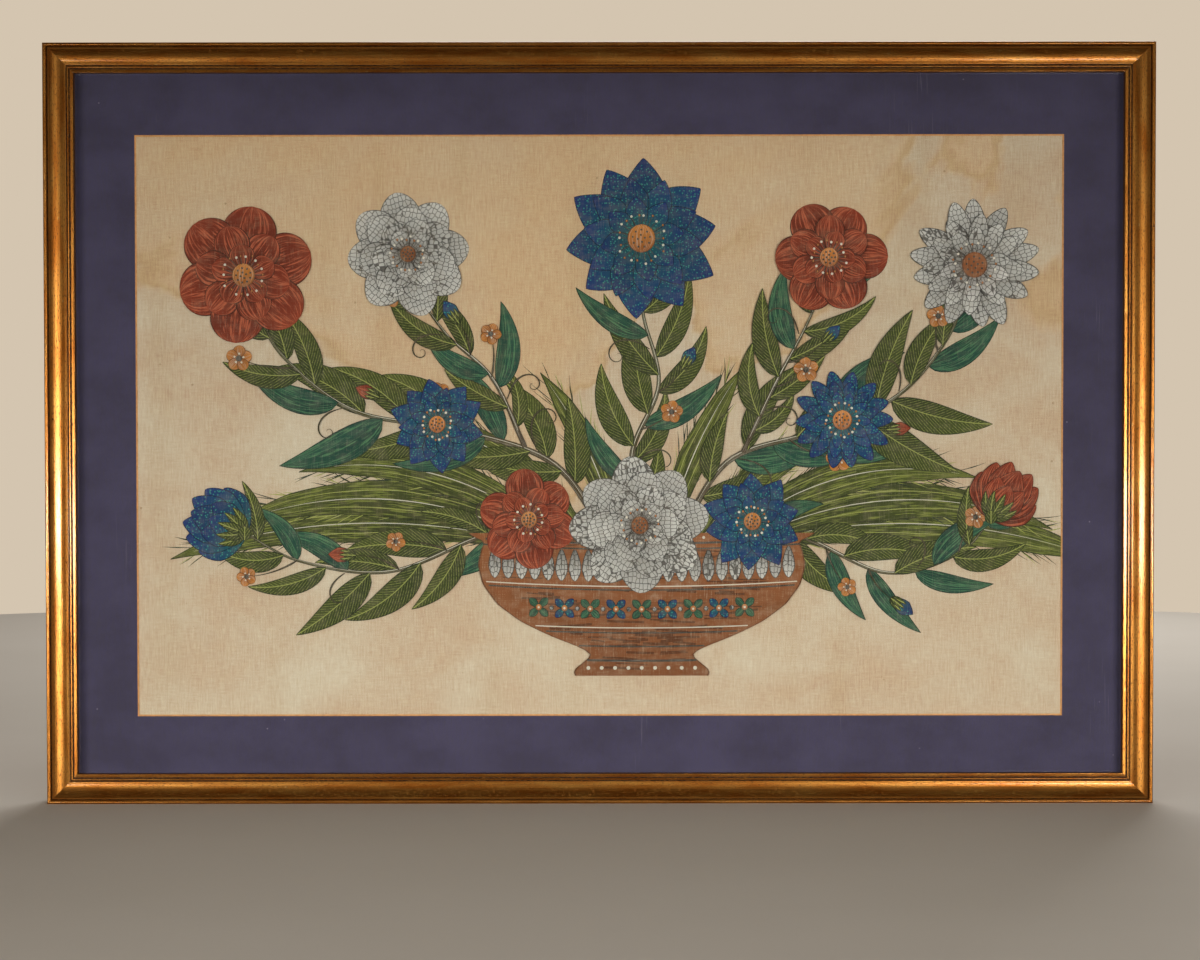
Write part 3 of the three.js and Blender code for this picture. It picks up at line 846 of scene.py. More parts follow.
@dataclass
class Moulding:
    """The rail section: outer bead, step, scoop, groove, small bead and sight fillet. Millimetres."""

    face: float = 30.0
    rabbet_wall: float = 23.0
    lip_rear: float = 17.8
    lip_front: float = 26.0
    crest: float = 36.0
    bead: float = 2.0
    step_at: float = 4.0
    step_depth: float = 3.2
    scoop_from: float = 4.9
    scoop_to: float = 22.3
    fall_share: float = 0.92
    floor_drop: float = 0.4
    fall_angle: float = 52.0
    groove_drop: float = 1.5
    groove_foot: float = 0.2
    small_bead_at: float = 24.3
    small_bead: float = 0.95
    small_bead_drop: float = 0.9
    quirk_drop: float = 1.3
    quirk_to: float = 26.6
    fillet_from: float = 26.9
    shoulder_drop: float = 0.25
    round_over: float = 0.7
    side_rows: int = 10
    scoop_rows: int = 22
    foot_rows: int = 6

    def section(self) -> tuple[np.ndarray, np.ndarray, np.ndarray]:
        """Draw the section from the outer back corner, over the face and round the rabbet.

        Returns:
            Points (inwards, height), the wear and painted shade at each (crest, hollow, toned), and which are
            gilded.
        """
        points: list[tuple[float, float, float, float]] = []

        def line(u0: float, h0: float, u1: float, h1: float, steps: int, crest: float = 0.0,
                 hollow: float = 0.0) -> None:
            """Add points from one place up to, not including, another."""
            for t in np.arange(steps) / steps:
                points.append((u0 + (u1 - u0) * t, h0 + (h1 - h0) * t, crest, hollow))

        def arc(u: float, h: float, radius: float, start: float, end: float, steps: int, crest: float = 0.0,
                hollow: float = 0.0) -> None:
            """Add points round an arc, its end left out."""
            for a in np.radians(start + (end - start) * np.arange(steps) / steps):
                points.append((u + radius * math.cos(a), h + radius * math.sin(a), crest, hollow))

        floor = self.lip_front - self.floor_drop
        radius = (self.scoop_to - self.scoop_from) * self.fall_share / math.sin(math.radians(self.fall_angle))
        bottom = self.scoop_from + radius * math.sin(math.radians(self.fall_angle))
        scoop_top = floor + radius * (1 - math.cos(math.radians(self.fall_angle)))
        groove = self.lip_front - self.groove_drop
        quirk = self.lip_front - self.quirk_drop
        small = self.lip_front - self.small_bead_drop
        line(0, 0, 0, self.crest - self.bead, self.side_rows)
        arc(self.bead, self.crest - self.bead, self.bead, 180, 0, 12, crest=1.0)
        # Hollow darkens the step, the groove and the quirk with dirt and painted shade.
        line(self.step_at, self.crest - self.bead, self.step_at, self.crest - self.step_depth, 2, hollow=1.0)
        line(self.step_at, self.crest - self.step_depth, self.scoop_from, scoop_top, 2, hollow=1.0)
        # Dirt and painted shade fade out over the first rows of the scoop below the step.
        falls = 1 - np.arange(self.scoop_rows) / self.scoop_rows
        for row, angle in enumerate(np.radians(self.fall_angle * falls)):
            points.append((bottom - radius * math.sin(angle), floor + radius * (1 - math.cos(angle)), 0.12,
                           max(0.0, 0.9 - 0.3 * row)))
        corner = (self.scoop_to, floor)
        end = (self.scoop_to + self.groove_foot, groove)
        for t in np.arange(self.foot_rows) / self.foot_rows:
            u = (1 - t) ** 2 * bottom + 2 * t * (1 - t) * corner[0] + t * t * end[0]
            h = (1 - t) ** 2 * floor + 2 * t * (1 - t) * corner[1] + t * t * end[1]
            points.append((u, h, 0.2 * (1 - t), min(1.0, t * 1.4)))
        left = self.small_bead_at - self.small_bead
        line(*end, left, groove, 2, hollow=1.0)
        line(left, groove, left, small, 1, hollow=0.9)
        arc(self.small_bead_at, small, self.small_bead, 180, 145, 2, hollow=0.95)
        arc(self.small_bead_at, small, self.small_bead, 145, 45, 8, crest=0.35)
        arc(self.small_bead_at, small, self.small_bead, 45, 0, 2, hollow=1.0)
        right = self.small_bead_at + self.small_bead
        line(right, small, right, quirk, 1, hollow=0.8)
        line(right, quirk, self.quirk_to, quirk, 2, hollow=1.0)
        line(self.quirk_to, quirk, self.fillet_from, self.lip_front - self.shoulder_drop, 1, hollow=0.8)
        line(self.fillet_from, self.lip_front - self.shoulder_drop, self.face - self.round_over,
             self.lip_front, 3, crest=0.15)
        arc(self.face - self.round_over, self.lip_front - self.round_over, self.round_over, 90, 0, 5,
            crest=0.5)
        # The sight edge's inner wall is darkened as if ungilded, and as painted shade under the lip.
        line(self.face, self.lip_front - self.round_over, self.face, self.lip_rear, 5, hollow=0.85)
        gilded = len(points)
        line(self.face, self.lip_rear, self.rabbet_wall, self.lip_rear, 2)
        line(self.rabbet_wall, self.lip_rear, self.rabbet_wall, 0, 5)
        line(self.rabbet_wall, 0, 0, 0, 8)
        rows = np.array(points)
        side = np.arange(len(points)) < self.side_rows
        toned = np.where(side, 1 - rows[:, 1] / (self.crest - self.bead), 0.0)
        gold = np.arange(len(points)) < gilded
        return rows[:, :2] * MM, np.column_stack([rows[:, 2:], toned]), gold


@dataclass
class Knock:
    """A dent in a rail: where it lies, how wide and how deep, in metres."""

    along: float
    inwards: float
    radius: float
    depth: float


@dataclass
class GildedFrame:
    """Four mitred rails with the small faults of hand finishing and long use."""

    outline: Outline
    gold: bpy.types.Material
    wood: bpy.types.Material
    moulding: Moulding = field(default_factory=Moulding)
    step: float = 3.0 * MM
    joint: float = 0.06 * MM
    bow: float = 0.12 * MM
    bow_swing: float = 0.21
    ripple: float = 0.03 * MM
    ripple_swing: float = 0.045
    face_from: float = 0.016
    mitre_gaps: tuple[float, float] = (0.35, 0.7)
    mitre_dirt: float = 0.6
    knocks_per_metre: float = 16.0
    knocked: tuple[float, ...] = (0.001, 0.002, 0.003, 0.0243, 0.0293, 0.014)
    scoop_knock: float = 0.014
    nail_holes: dict[Edge, tuple[float, float]] = field(
        default_factory=lambda: {Edge.LEFT: (0.006, 0.0075), Edge.TOP: (-0.31, 0.008),
                                 Edge.BOTTOM: (0.27, 0.0072)})

    def knocks(self, edge: Edge, draw: random.Random) -> list[Knock]:
        """Pick where a rail has been knocked.

        Args:
            edge: The side.
            draw: The source of chance.

        Returns:
            Dents on the crests, with the nail hole if the side has one.
        """
        length = self.outline.length(edge)
        found = []
        for _ in range(int(length * self.knocks_per_metre)):
            inwards = draw.choice(self.knocked)
            deep = 0.10 if inwards == self.scoop_knock else 0.32
            found.append(Knock(draw.uniform(-0.49, 0.49) * length, inwards, draw.uniform(0.9, 3.2) * MM,
                               draw.uniform(0.25, 1.0) * deep * MM))
        if edge in self.nail_holes:
            found.append(Knock(*self.nail_holes[edge], 0.95 * MM, 1.0 * MM))
        return found

    def stations(self, edge: Edge, knocks: Sequence[Knock]) -> np.ndarray:
        """Places along a rail where its section is repeated, closer together at a nail hole.

        Args:
            edge: The side.
            knocks: The rail's dents.

        Returns:
            Shares of the rail's half-length, from -1 to 1.
        """
        half = self.outline.length(edge) / 2
        places = list(np.linspace(-1, 1, int(2 * half / self.step)))
        places += [end * (1 - gap * MM / half) for end in (-1, 1) for gap in self.mitre_gaps]
        for knock in knocks:
            if knock.radius < MM:
                places += list((knock.along + np.linspace(-1.6, 1.6, 13) * MM) / half)
        return np.unique(np.round(np.clip(places, -1, 1), 6))

    def rail(self, edge: Edge, seed: int) -> bpy.types.Object:
        """Make one rail.

        Args:
            edge: The side.
            seed: Starts its chance draws.

        Returns:
            The rail, in place.
        """
        draw = random.Random(seed)
        section, wear, gold = self.moulding.section()
        knocks = self.knocks(edge, draw)
        share = self.stations(edge, knocks)
        half = self.outline.length(edge) / 2
        rows, columns = len(share), len(section)
        reach = half - section[:, 0] - self.joint
        along = share[:, None] * reach[None, :]
        inwards = np.repeat(section[None, :, 0], rows, 0)
        height = np.repeat(section[None, :, 1], rows, 0)
        face = section[:, 1] > self.face_from
        girth = np.concatenate([[0], np.cumsum(np.hypot(*np.diff(section, axis=0).T))])
        # The rail is not quite straight, and the scraper left it slightly uneven.
        ends = np.clip((1 - np.abs(share)) * 14, 0, 1)[:, None]
        drift = sway(share * half, seed, self.bow_swing)[:, None] * self.bow * ends
        ripple = sway(share * half, seed + 5, self.ripple_swing)[:, None] * self.ripple * ends
        height = height + (drift + ripple) * face[None, :]
        crest = np.repeat(wear[None, :, 0], rows, 0)
        hollow = np.repeat(wear[None, :, 1], rows, 0)
        for knock in knocks:
            away = np.hypot((along - knock.along) / 1.3, inwards - knock.inwards) / knock.radius
            dip = np.clip(1 - away ** 2, 0, 1) ** 1.5 * face[None, :]
            height = height - dip * knock.depth
            nail = knock.radius < MM
            crest = np.maximum(crest, np.clip(dip * 1.4, 0, 1) * (not nail))
            hollow = np.maximum(hollow, np.clip(dip * 3, 0, 1) * nail)
        # Dirt gathers in the mitre.
        mitre = np.clip(1 - (1 - np.abs(share[:, None])) * half / (self.mitre_gaps[1] * MM), 0, 1)
        hollow = np.maximum(hollow, mitre * self.mitre_dirt)
        points = self.outline.place(edge, along, inwards, height).reshape(-1, 3)
        faces = grid_faces(rows, columns, closed=True)
        finish = np.tile(np.where(gold, 0, 1), rows - 1)
        faces.append(list(range(columns)))
        faces.append([(rows - 1) * columns + i for i in range(columns)])
        finish = np.concatenate([finish, [1, 1]])
        place = np.stack([along + seed * 2.0, np.repeat(girth[None, :], rows, 0), np.zeros_like(along)], -1)
        toned = np.repeat(wear[None, :, 2], rows, 0)
        values = {"place": place.reshape(-1, 3), "wear": np.stack([crest, hollow, toned], -1).reshape(-1, 3)}
        return mesh_piece(f"moulding_{edge.word}", points, faces, (self.gold, self.wood), finish, 32, values)

    def build(self) -> None:
        """Make and fit the four rails."""
        for seed, edge in enumerate(Edge, start=1):
            fit(self.rail(edge, seed), "gilding", f"rail_{edge.word}")


# ---------------------------------------------------------------- the cloth and its painting
@dataclass
class PaintedGround:
    """The cotton cloth: flat on its board, with slubs standing a few hundredths of a millimetre proud."""

    finish: bpy.types.Material
    pitch: float = 4.0 * MM
    slub: float = 0.02 * MM

    def build(self) -> bpy.types.Object:
        """Returns:
            The cloth.
        """
        low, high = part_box("painted_cloth")
        columns = int((high.x - low.x) / self.pitch)
        rows = int((high.z - low.z) / self.pitch)
        x, z = np.meshgrid(np.linspace(low.x, high.x, columns), np.linspace(low.z, high.z, rows))
        chance = np.random.default_rng(11)
        relief = chance.uniform(0, 1, columns)[None, :] * 0.7 + chance.uniform(0, 0.3, (rows, columns))
        front = np.stack([x, low.y + self.slub * relief, z], -1).reshape(-1, 3)
        back = np.stack([x, np.full_like(x, high.y), z], -1).reshape(-1, 3)
        cloth = mesh_piece("cotton_ground", np.concatenate([front, back]), sheet_faces(rows, columns),
                           (self.finish,))
        fit(cloth, "cloth", "painted_cloth")
        return cloth


@dataclass
class Canvas:
    """What has been painted where, so that each stroke lies on top of those before it.

    Sizes are in millimetres from the window's centre.
    """

    width: float
    height: float
    cell: float = 0.9
    fineness: float = 1.6
    coats: np.ndarray = field(init=False)

    def __post_init__(self) -> None:
        """Start bare."""
        self.coats = np.zeros((int(self.width / self.cell) + 3, int(self.height / self.cell) + 3), np.int16)

    def claim(self, sheet: np.ndarray) -> int:
        """Find how many coats lie under a stroke, and add one there.

        Args:
            sheet: The stroke's points, by rows and columns.

        Returns:
            The number of coats underneath.
        """
        rows, columns = sheet.shape[:2]
        length = np.linalg.norm(np.diff(sheet, axis=0), axis=-1).max(1).sum()
        width = np.linalg.norm(np.diff(sheet, axis=1), axis=-1).sum(1).max()
        long, wide = (max(2, int(size / self.cell * self.fineness) + 2) for size in (length, width))
        r, c = np.linspace(0, rows - 1.001, long), np.linspace(0, columns - 1.001, wide)
        ri, ci = r.astype(int), c.astype(int)
        rf, cf = (r - ri)[:, None, None], (c - ci)[None, :, None]
        fine = ((sheet[ri][:, ci] * (1 - rf) + sheet[ri + 1][:, ci] * rf) * (1 - cf)
                + (sheet[ri][:, ci + 1] * (1 - rf) + sheet[ri + 1][:, ci + 1] * rf) * cf)
        x = np.clip(((fine[..., 0] + self.width / 2) / self.cell + 1).round().astype(int), 0,
                    self.coats.shape[0] - 1)
        z = np.clip(((fine[..., 1] + self.height / 2) / self.cell + 1).round().astype(int), 0,
                    self.coats.shape[1] - 1)
        under = int(self.coats[x, z].max())
        self.coats[x, z] = under + 1
        return under


@dataclass
class Paint:
    """All the shapes laid in one colour, as a film of separate thin strokes.

    A stroke has a spine and a half-width each side of it, in millimetres from the window's centre.
    """

    name: str
    finish: bpy.types.Material
    canvas: Canvas
    cloth_front: float
    centre: float
    layer: float = 0.030 * MM
    film: float = 0.020 * MM
    lift: float = 0.02 * MM
    finest: float = 0.06
    points: list = field(default_factory=list)
    faces: list = field(default_factory=list)
    stroke: list = field(default_factory=list)
    reach: list = field(default_factory=list)
    count: int = 0

    def lay(self, spine: np.ndarray, left: np.ndarray, right: np.ndarray, tone: float,
            across: int = 4) -> None:
        """Lay one stroke.

        Args:
            spine: Points along the middle, in millimetres.
            left: Half-width to the left at each point.
            right: Half-width to the right at each point.
            tone: From 0 to 1, how dark this stroke is.
            across: Faces across its width.
        """
        spine = np.asarray(spine, float)
        rows, columns = len(spine), across + 1
        tangent = np.gradient(spine, axis=0)
        tangent /= np.linalg.norm(tangent, axis=1, keepdims=True) + 1e-9
        normal = np.stack([-tangent[:, 1], tangent[:, 0]], -1)
        side = np.linspace(-1, 1, columns)
        half = np.where(side[None, :] > 0, np.asarray(left)[:, None], np.asarray(right)[:, None])
        half = np.maximum(half, self.finest)
        offset = side[None, :] * half
        sheet = spine[:, None, :] + normal[:, None, :] * offset[..., None]
        top = self.cloth_front - self.lift - self.canvas.claim(sheet) * self.layer - self.film
        flat = sheet * MM
        run = np.concatenate([[0], np.cumsum(np.linalg.norm(np.diff(spine, axis=0), axis=1))])
        front = np.stack([flat[..., 0], np.full(flat.shape[:2], top), flat[..., 1] + self.centre], -1)
        rear = front[:, [0, -1]].copy()
        rear[..., 1] += self.film
        start = self.count
        back = start + rows * columns
        self.points += [front.reshape(-1, 3), rear.reshape(-1, 3)]
        self.faces += grid_faces(rows, columns, start)
        for r in range(rows - 1):
            fl, fr = start + r * columns, start + r * columns + across
            bl, br = back + 2 * r, back + 2 * r + 1
            self.faces.append([bl, br, br + 2, bl + 2])
            self.faces.append([fl, fl + columns, bl + 2, bl])
            self.faces.append([fr, fr + columns, br + 2, br])
        self.faces.append([start + i for i in range(columns)] + [back + 1, back])
        end = start + (rows - 1) * columns
        self.faces.append([end + i for i in range(columns)] + [back + 2 * rows - 1, back + 2 * rows - 2])
        marks = np.stack([np.repeat(run[:, None], columns, 1) * MM, offset * MM,
                          np.full(offset.shape, tone)], -1)
        spread = np.stack([np.repeat(side[None, :], rows, 0),
                           np.repeat(run[:, None] / (run[-1] + 1e-9), columns, 1), half * MM], -1)
        for rows_of, store in ((marks, self.stroke), (spread, self.reach)):
            store.extend((rows_of.reshape(-1, 3), rows_of[:, [0, -1]].reshape(-1, 3)))
        self.count = back + 2 * rows

    def build(self) -> bpy.types.Object:
        """Make the film and fit it.

        Returns:
            The film.
        """
        values = {"stroke": np.concatenate(self.stroke), "reach": np.concatenate(self.reach)}
        piece = mesh_piece(self.name, np.concatenate(self.points), self.faces, (self.finish,), values=values)
        return fit(piece, "cloth")


def curve(points: Sequence[tuple[float, float]], count: int) -> np.ndarray:
    """Draw a smooth line through a few points.

    Args:
        points: The places it passes.
        count: Number of points in the result.

    Returns:
        Evenly spaced points.
    """
    knots = np.asarray(points, float)
    ends = np.vstack([2 * knots[0] - knots[1], knots, 2 * knots[-1] - knots[-2]])
    drawn = []
    for i in range(1, len(ends) - 2):
        a, b, c, d = ends[i - 1:i + 3]
        t = np.linspace(0, 1, 24, endpoint=False)[:, None]
        drawn.append(0.5 * (2 * b + (c - a) * t + (2 * a - 5 * b + 4 * c - d) * t ** 2
                            + (3 * b - 3 * c + d - a) * t ** 3))
    line = np.vstack([*drawn, knots[-1:]])
    run = np.concatenate([[0], np.cumsum(np.linalg.norm(np.diff(line, axis=0), axis=1))])
    even = np.linspace(0, run[-1], count)
    return np.stack([np.interp(even, run, line[:, 0]), np.interp(even, run, line[:, 1])], -1)


def bent(root: Sequence[float], heading: float, length: float, bend: float, count: int) -> np.ndarray:
    """Draw a line that starts one way and turns steadily.

    Args:
        root: Where it starts, in millimetres.
        heading: Its first direction in degrees, counted from +X.
        length: Its length.
        bend: How far it turns in all, in degrees.
        count: Number of points.

    Returns:
        The line's points.
    """
    turn = np.radians(heading + bend * (np.arange(count - 1) + 0.5) / (count - 1))
    steps = np.stack([np.cos(turn), np.sin(turn)], -1) * length / (count - 1)
    return np.vstack([np.asarray(root, float)[None, :], np.asarray(root, float) + np.cumsum(steps, axis=0)])


@dataclass
class Ring:
    """One ring of a flower's petals: how far they reach, how many there are, their width and their point."""

    reach: float
    petals: int
    width: float
    point: float


class Kind(Enum):
    """The flowers of the design, as rings from the outside in, with the centre's size."""

    POPPY = ((Ring(1.0, 6, 1.05, 0.05), Ring(0.70, 6, 1.0, 0.1), Ring(0.42, 5, 1.0, 0.2)), 0.17)
    LOTUS = ((Ring(1.0, 10, 1.15, 0.85), Ring(0.78, 10, 1.05, 0.8), Ring(0.52, 8, 1.0, 0.7)), 0.18)
    ASTER = ((Ring(1.0, 14, 1.1, 0.35), Ring(0.76, 12, 1.05, 0.35), Ring(0.54, 10, 1.05, 0.35)), 0.20)
    ROSE = ((Ring(1.0, 8, 1.15, 0.25), Ring(0.76, 7, 1.15, 0.2), Ring(0.54, 6, 1.15, 0.2),
             Ring(0.33, 5, 1.1, 0.2)), 0.13)


@dataclass
class FloweringBowl:
    """A plain traditional design: a footed bowl of flowers, with stems that curl to both sides.

    Every form is drawn here from curves, in the order in which a painter lays them. All sizes are in
    millimetres from the window's centre.
    """

    cotton: OldCotton
    cloth_front: float
    centre: float
    bowl_at: tuple[float, float] = (44.0, -262.0)
    bowl_height: float = 150.0
    bowl_half: float = 172.0
    tongue_pitch: float = 14.0
    motif_pitch: float = 27.0
    rim_dot_pitch: float = 13.0
    window: tuple[float, float] = (970.0, 608.0)
    paints: dict[str, Paint] = field(default_factory=dict)
    draw: random.Random = field(default_factory=lambda: random.Random(20))

    def __post_init__(self) -> None:
        """Mix the paints."""
        mixes = {
            "blade_green": ("moss-green gouache, long strokes", "#373f20", "#596229", "#212b16", Hand.FLOW,
                            {"mark": "#848d42", "shade": 0.25}),
            "leaf_green": ("olive gouache, veined", "#394421", "#555f29", "#1d2913", Hand.VEINS,
                           {"mark": "#abb262", "pitch": 4.6, "shade": 0.3}),
            "leaf_teal": ("blue-green gouache", "#1b4941", "#315f4d", "#132521", Hand.FLOW,
                          {"mark": "#598a62", "shade": 0.25}),
            "stem_brown": ("umber gouache", "#4e3d28", "#5c5c32", "#282318", Hand.SOLID, {"outline": 0.7}),
            "terracotta": ("terracotta wash", "#865230", "#985e37", "#5a351e", Hand.WASH,
                           {"mark": "#734524", "cover": 0.84, "outline": 1.8}),
            "petal_blue": ("blue-green gouache, stippled", "#1a655f", "#183679", "#0e172f", Hand.STIPPLE,
                           {"mark": "#3c9989", "pitch": 2.8}),
            "petal_grey": ("white gouache with pen scales", "#797874", "#deddd9", "#242321", Hand.SCALES,
                           {"mark": "#373431", "pitch": 4.2}),
            "petal_red": ("brick-red gouache, lined", "#441a11", "#923b23", "#29140e", Hand.FLOW,
                          {"mark": "#c86a4a"}),
            "ochre": ("ochre gouache", "#985723", "#d18634", "#543116", Hand.SOLID, {"outline": 0.8}),
            "ink": ("lamp-black ink line", "#2f2a25", "#2f2a25", "#211d1a", Hand.SOLID,
                    {"cover": 0.88, "outline": 0.0}),
            "white_line": ("thin white gouache line", "#dbd8ca", "#dbd8ca", "#bbb7a7", Hand.SOLID,
                           {"cover": 0.85, "outline": 0.0}),
            "yellow_green": ("yellow-green gouache line", "#99a145", "#a9af4f", "#6d773a", Hand.SOLID,
                             {"cover": 0.85, "outline": 0.0}),
        }
        canvas = Canvas(*self.window)
        for name, (*mix, ways) in mixes.items():
            finish = Gouache(*mix, self.cotton, **ways).make()
            self.paints[name] = Paint(f"painting_{name}", finish, canvas, self.cloth_front, self.centre)

    def lay(self, paint: str, spine: np.ndarray, left: np.ndarray, right: np.ndarray | None = None,
            across: int = 4, tone: float | None = None) -> None:
        """Lay a stroke in a named paint, with a tone of its own.

        Args:
            paint: The paint's name.
            spine: Points along the middle.
            left: Half-width to the left.
            right: Half-width to the right; as on the left where left out.
            across: Faces across its width.
            tone: How dark it is; drawn by chance where left out.
        """
        chance = self.draw.uniform(0, 0.6)
        self.paints[paint].lay(spine, left, left if right is None else right,
                               chance if tone is None else tone, across)

    def line(self, paint: str, spine: np.ndarray, width: float, swell: float = 0.5) -> None:
        """Draw a tapering pen or brush line.

        Args:
            paint: The paint's name.
            spine: Points along it.
            width: Its widest.
            swell: Where along it is widest.
        """
        s = np.linspace(0, 1, len(spine))
        self.lay(paint, spine, width / 2 * np.interp(s, [0, swell, 1], [0.45, 1.0, 0.12]), across=2)

    def dot(self, paint: str, at: Sequence[float], radius: float, tone: float | None = None) -> None:
        """Put down a round dot.

        Args:
            paint: The paint's name.
            at: Its centre.
            radius: Its radius.
            tone: How dark it is; drawn by chance where left out.
        """
        angle = np.linspace(0.12, math.pi - 0.12, 9)
        spine = np.stack([np.full(9, at[0]), at[1] - np.cos(angle) * radius], -1)
        self.lay(paint, spine, np.sin(angle) * radius, tone=tone)

    def leaf(self, paint: str, root: Sequence[float], heading: float, length: float, width: float,
             bend: float) -> None:
        """Paint one pointed leaf.

        Args:
            paint: The paint's name.
            root: Where its stalk joins.
            heading: Its first direction in degrees.
            length: Its length.
            width: Its greatest width.
            bend: How far it curves, in degrees.
        """
        spine = bent(root, heading, length, bend, 17)
        s = np.linspace(0, 1, 17)
        form = np.clip(np.sin(math.pi * s ** 0.78), 0, 1) ** 0.85 * (1 - 0.25 * s)
        lean = 1 + 0.16 * math.copysign(1, bend)
        self.lay(paint, spine, form * width / 2 * (2 - lean) + 0.35, form * width / 2 * lean + 0.35)

    def petal(self, paint: str, root: Sequence[float], heading: float, length: float, width: float,
              point: float = 0.5, bend: float = 0.0) -> None:
        """Paint one petal.

        Args:
            paint: The paint's name.
            root: Where it joins.
            heading: Its direction in degrees.
            length: Its length.
            width: Its greatest width.
            point: From 0, round, to 1, pointed.
            bend: How far it curves, in degrees.
        """
        spine = bent(root, heading, length, bend, 20)
        s = 1 - (1 - np.linspace(0, 1, 20)) ** 1.35
        spine = np.stack([np.interp(s, np.linspace(0, 1, 20), spine[:, i]) for i in (0, 1)], -1)
        swell = np.sin(math.pi / 2 * np.clip(s / 0.62, 0, 1)) ** 0.9
        close = np.clip((s - 0.62) / 0.38, 0, 1)
        rounded = np.sqrt(np.clip(1 - close ** 2, 0, 1))
        pointed = 1 - close ** 1.25
        half = width / 2 * (0.22 + 0.78 * swell) * (rounded * (1 - point) + pointed * point)
        self.lay(paint, spine, np.maximum(half, 0.3))

    def bloom(self, at: Sequence[float], radius: float, paint: str, kind: Kind, heart: str,
              turn: float = 0.0) -> None:
        """Paint an open flower.

        Args:
            at: Its centre.
            radius: From its centre to the petals' tips.
            paint: The petals' paint.
            kind: Its rings of petals.
            heart: The centre's paint.
            turn: Turns it, in degrees.
        """
        rings, core = kind.value
        middle = np.asarray(at, float)
        for number, ring in enumerate(rings):
            spread = 2 * math.pi * radius * ring.reach * 0.72 / ring.petals
            for k in range(ring.petals):
                angle = turn + 360 * (k + 0.5 * (number % 2)) / ring.petals + self.draw.uniform(-3, 3)
                way = towards(angle)
                size = radius * ring.reach * self.draw.uniform(0.93, 1.04)
                self.petal(paint, middle + 0.08 * radius * way, angle, size * 0.92, spread * ring.width,
                           ring.point, self.draw.uniform(-14, 14))
        self.dot(heart, at, radius * core, tone=0.1)
        for k in range(22):
            way = towards(360 * k / 22 + self.draw.uniform(-4, 4))
            far = middle + way * radius * (core + self.draw.uniform(0.09, 0.15))
            self.line("ink", np.linspace(middle + way * radius * core * 0.9, far, 3), 0.9)
            self.dot("white_line" if k % 2 else "ochre", far, 1.3, tone=0.0)
        for count, share in ((9, 0.62), (4, 0.25)):
            for k in range(count):
                self.dot("ink", middle + radius * core * share * towards(360 * k / count + turn), 1.1)

    def side_bloom(self, at: Sequence[float], heading: float, radius: float, paint: str) -> None:
        """Paint a half-open flower seen from the side, on its calyx.

        Args:
            at: Where its stalk ends.
            heading: The way it faces, in degrees.
            radius: Its length.
            paint: The petals' paint.
        """
        for turn, reach, width in ((-60, 0.80, 0.44), (60, 0.80, 0.44), (-36, 0.94, 0.50), (36, 0.94, 0.50),
                                   (-16, 1.0, 0.50), (16, 1.0, 0.50), (0, 0.92, 0.52), (-28, 0.70, 0.42),
                                   (28, 0.70, 0.42), (0, 0.62, 0.40)):
            self.petal(paint, at, heading + turn, radius * reach, radius * width, 0.6, bend=-turn * 0.55)
        for turn in (-62, 62, -34, 34, 0):
            self.leaf("leaf_green", at, heading + turn, radius * 0.46, radius * 0.17, -turn * 0.6)
        self.dot("leaf_green", at, radius * 0.11)

    def bud(self, at: Sequence[float], heading: float, length: float, paint: str) -> None:
        """Paint a closed bud in its calyx.

        Args:
            at: Where its stalk ends.
            heading: The way it points, in degrees.
            length: Its length.
            paint: Its paint.
        """
        self.petal(paint, at, heading, length, length * 0.56, 0.8)
        for turn in (-28, 28, 0):
            self.leaf("leaf_green", at, heading + turn, length * 0.60, length * 0.20, -turn)

    def sprig(self, root: Sequence[float], heading: float, length: float, bend: float, paint: str,
              size: float) -> None:
        """Paint a thin side stalk that ends in a small five-petalled flower.

        Args:
            root: Where it leaves the stem.
            heading: Its first direction in degrees.
            length: Its length.
            bend: How far it curves.
            paint: The flower's paint.
            size: The flower's radius.
        """
        spine = bent(root, heading, length, bend, 9)
        self.line("stem_brown", spine, 2.2, 0.1)
        at, start = spine[-1], self.draw.uniform(0, 72)
        for k in range(5):
            self.petal(paint, at, start + 72 * k, size, size * 0.95, 0.15)
        self.dot("ink", at, size * 0.24)
        for k in range(5):
            self.dot("white_line", at + size * 0.36 * towards(start + 72 * k), size * 0.08)

    def curl(self, root: Sequence[float], heading: float, size: float, hand: int) -> None:
        """Draw a tendril that rolls up.

        Args:
            root: Where it leaves the stem.
            heading: Its first direction in degrees.
            size: Its length.
            hand: 1 to roll left and -1 to roll right.
        """
        s = np.linspace(0, 1, 26)
        turn = np.radians(heading + hand * (430 * s ** 1.8))
        pace = size / 26 * (1.5 - 1.15 * s)
        steps = np.stack([np.cos(turn) * pace, np.sin(turn) * pace], -1)
        self.line("stem_brown", np.asarray(root, float) + np.cumsum(steps, axis=0), 1.9, 0.2)

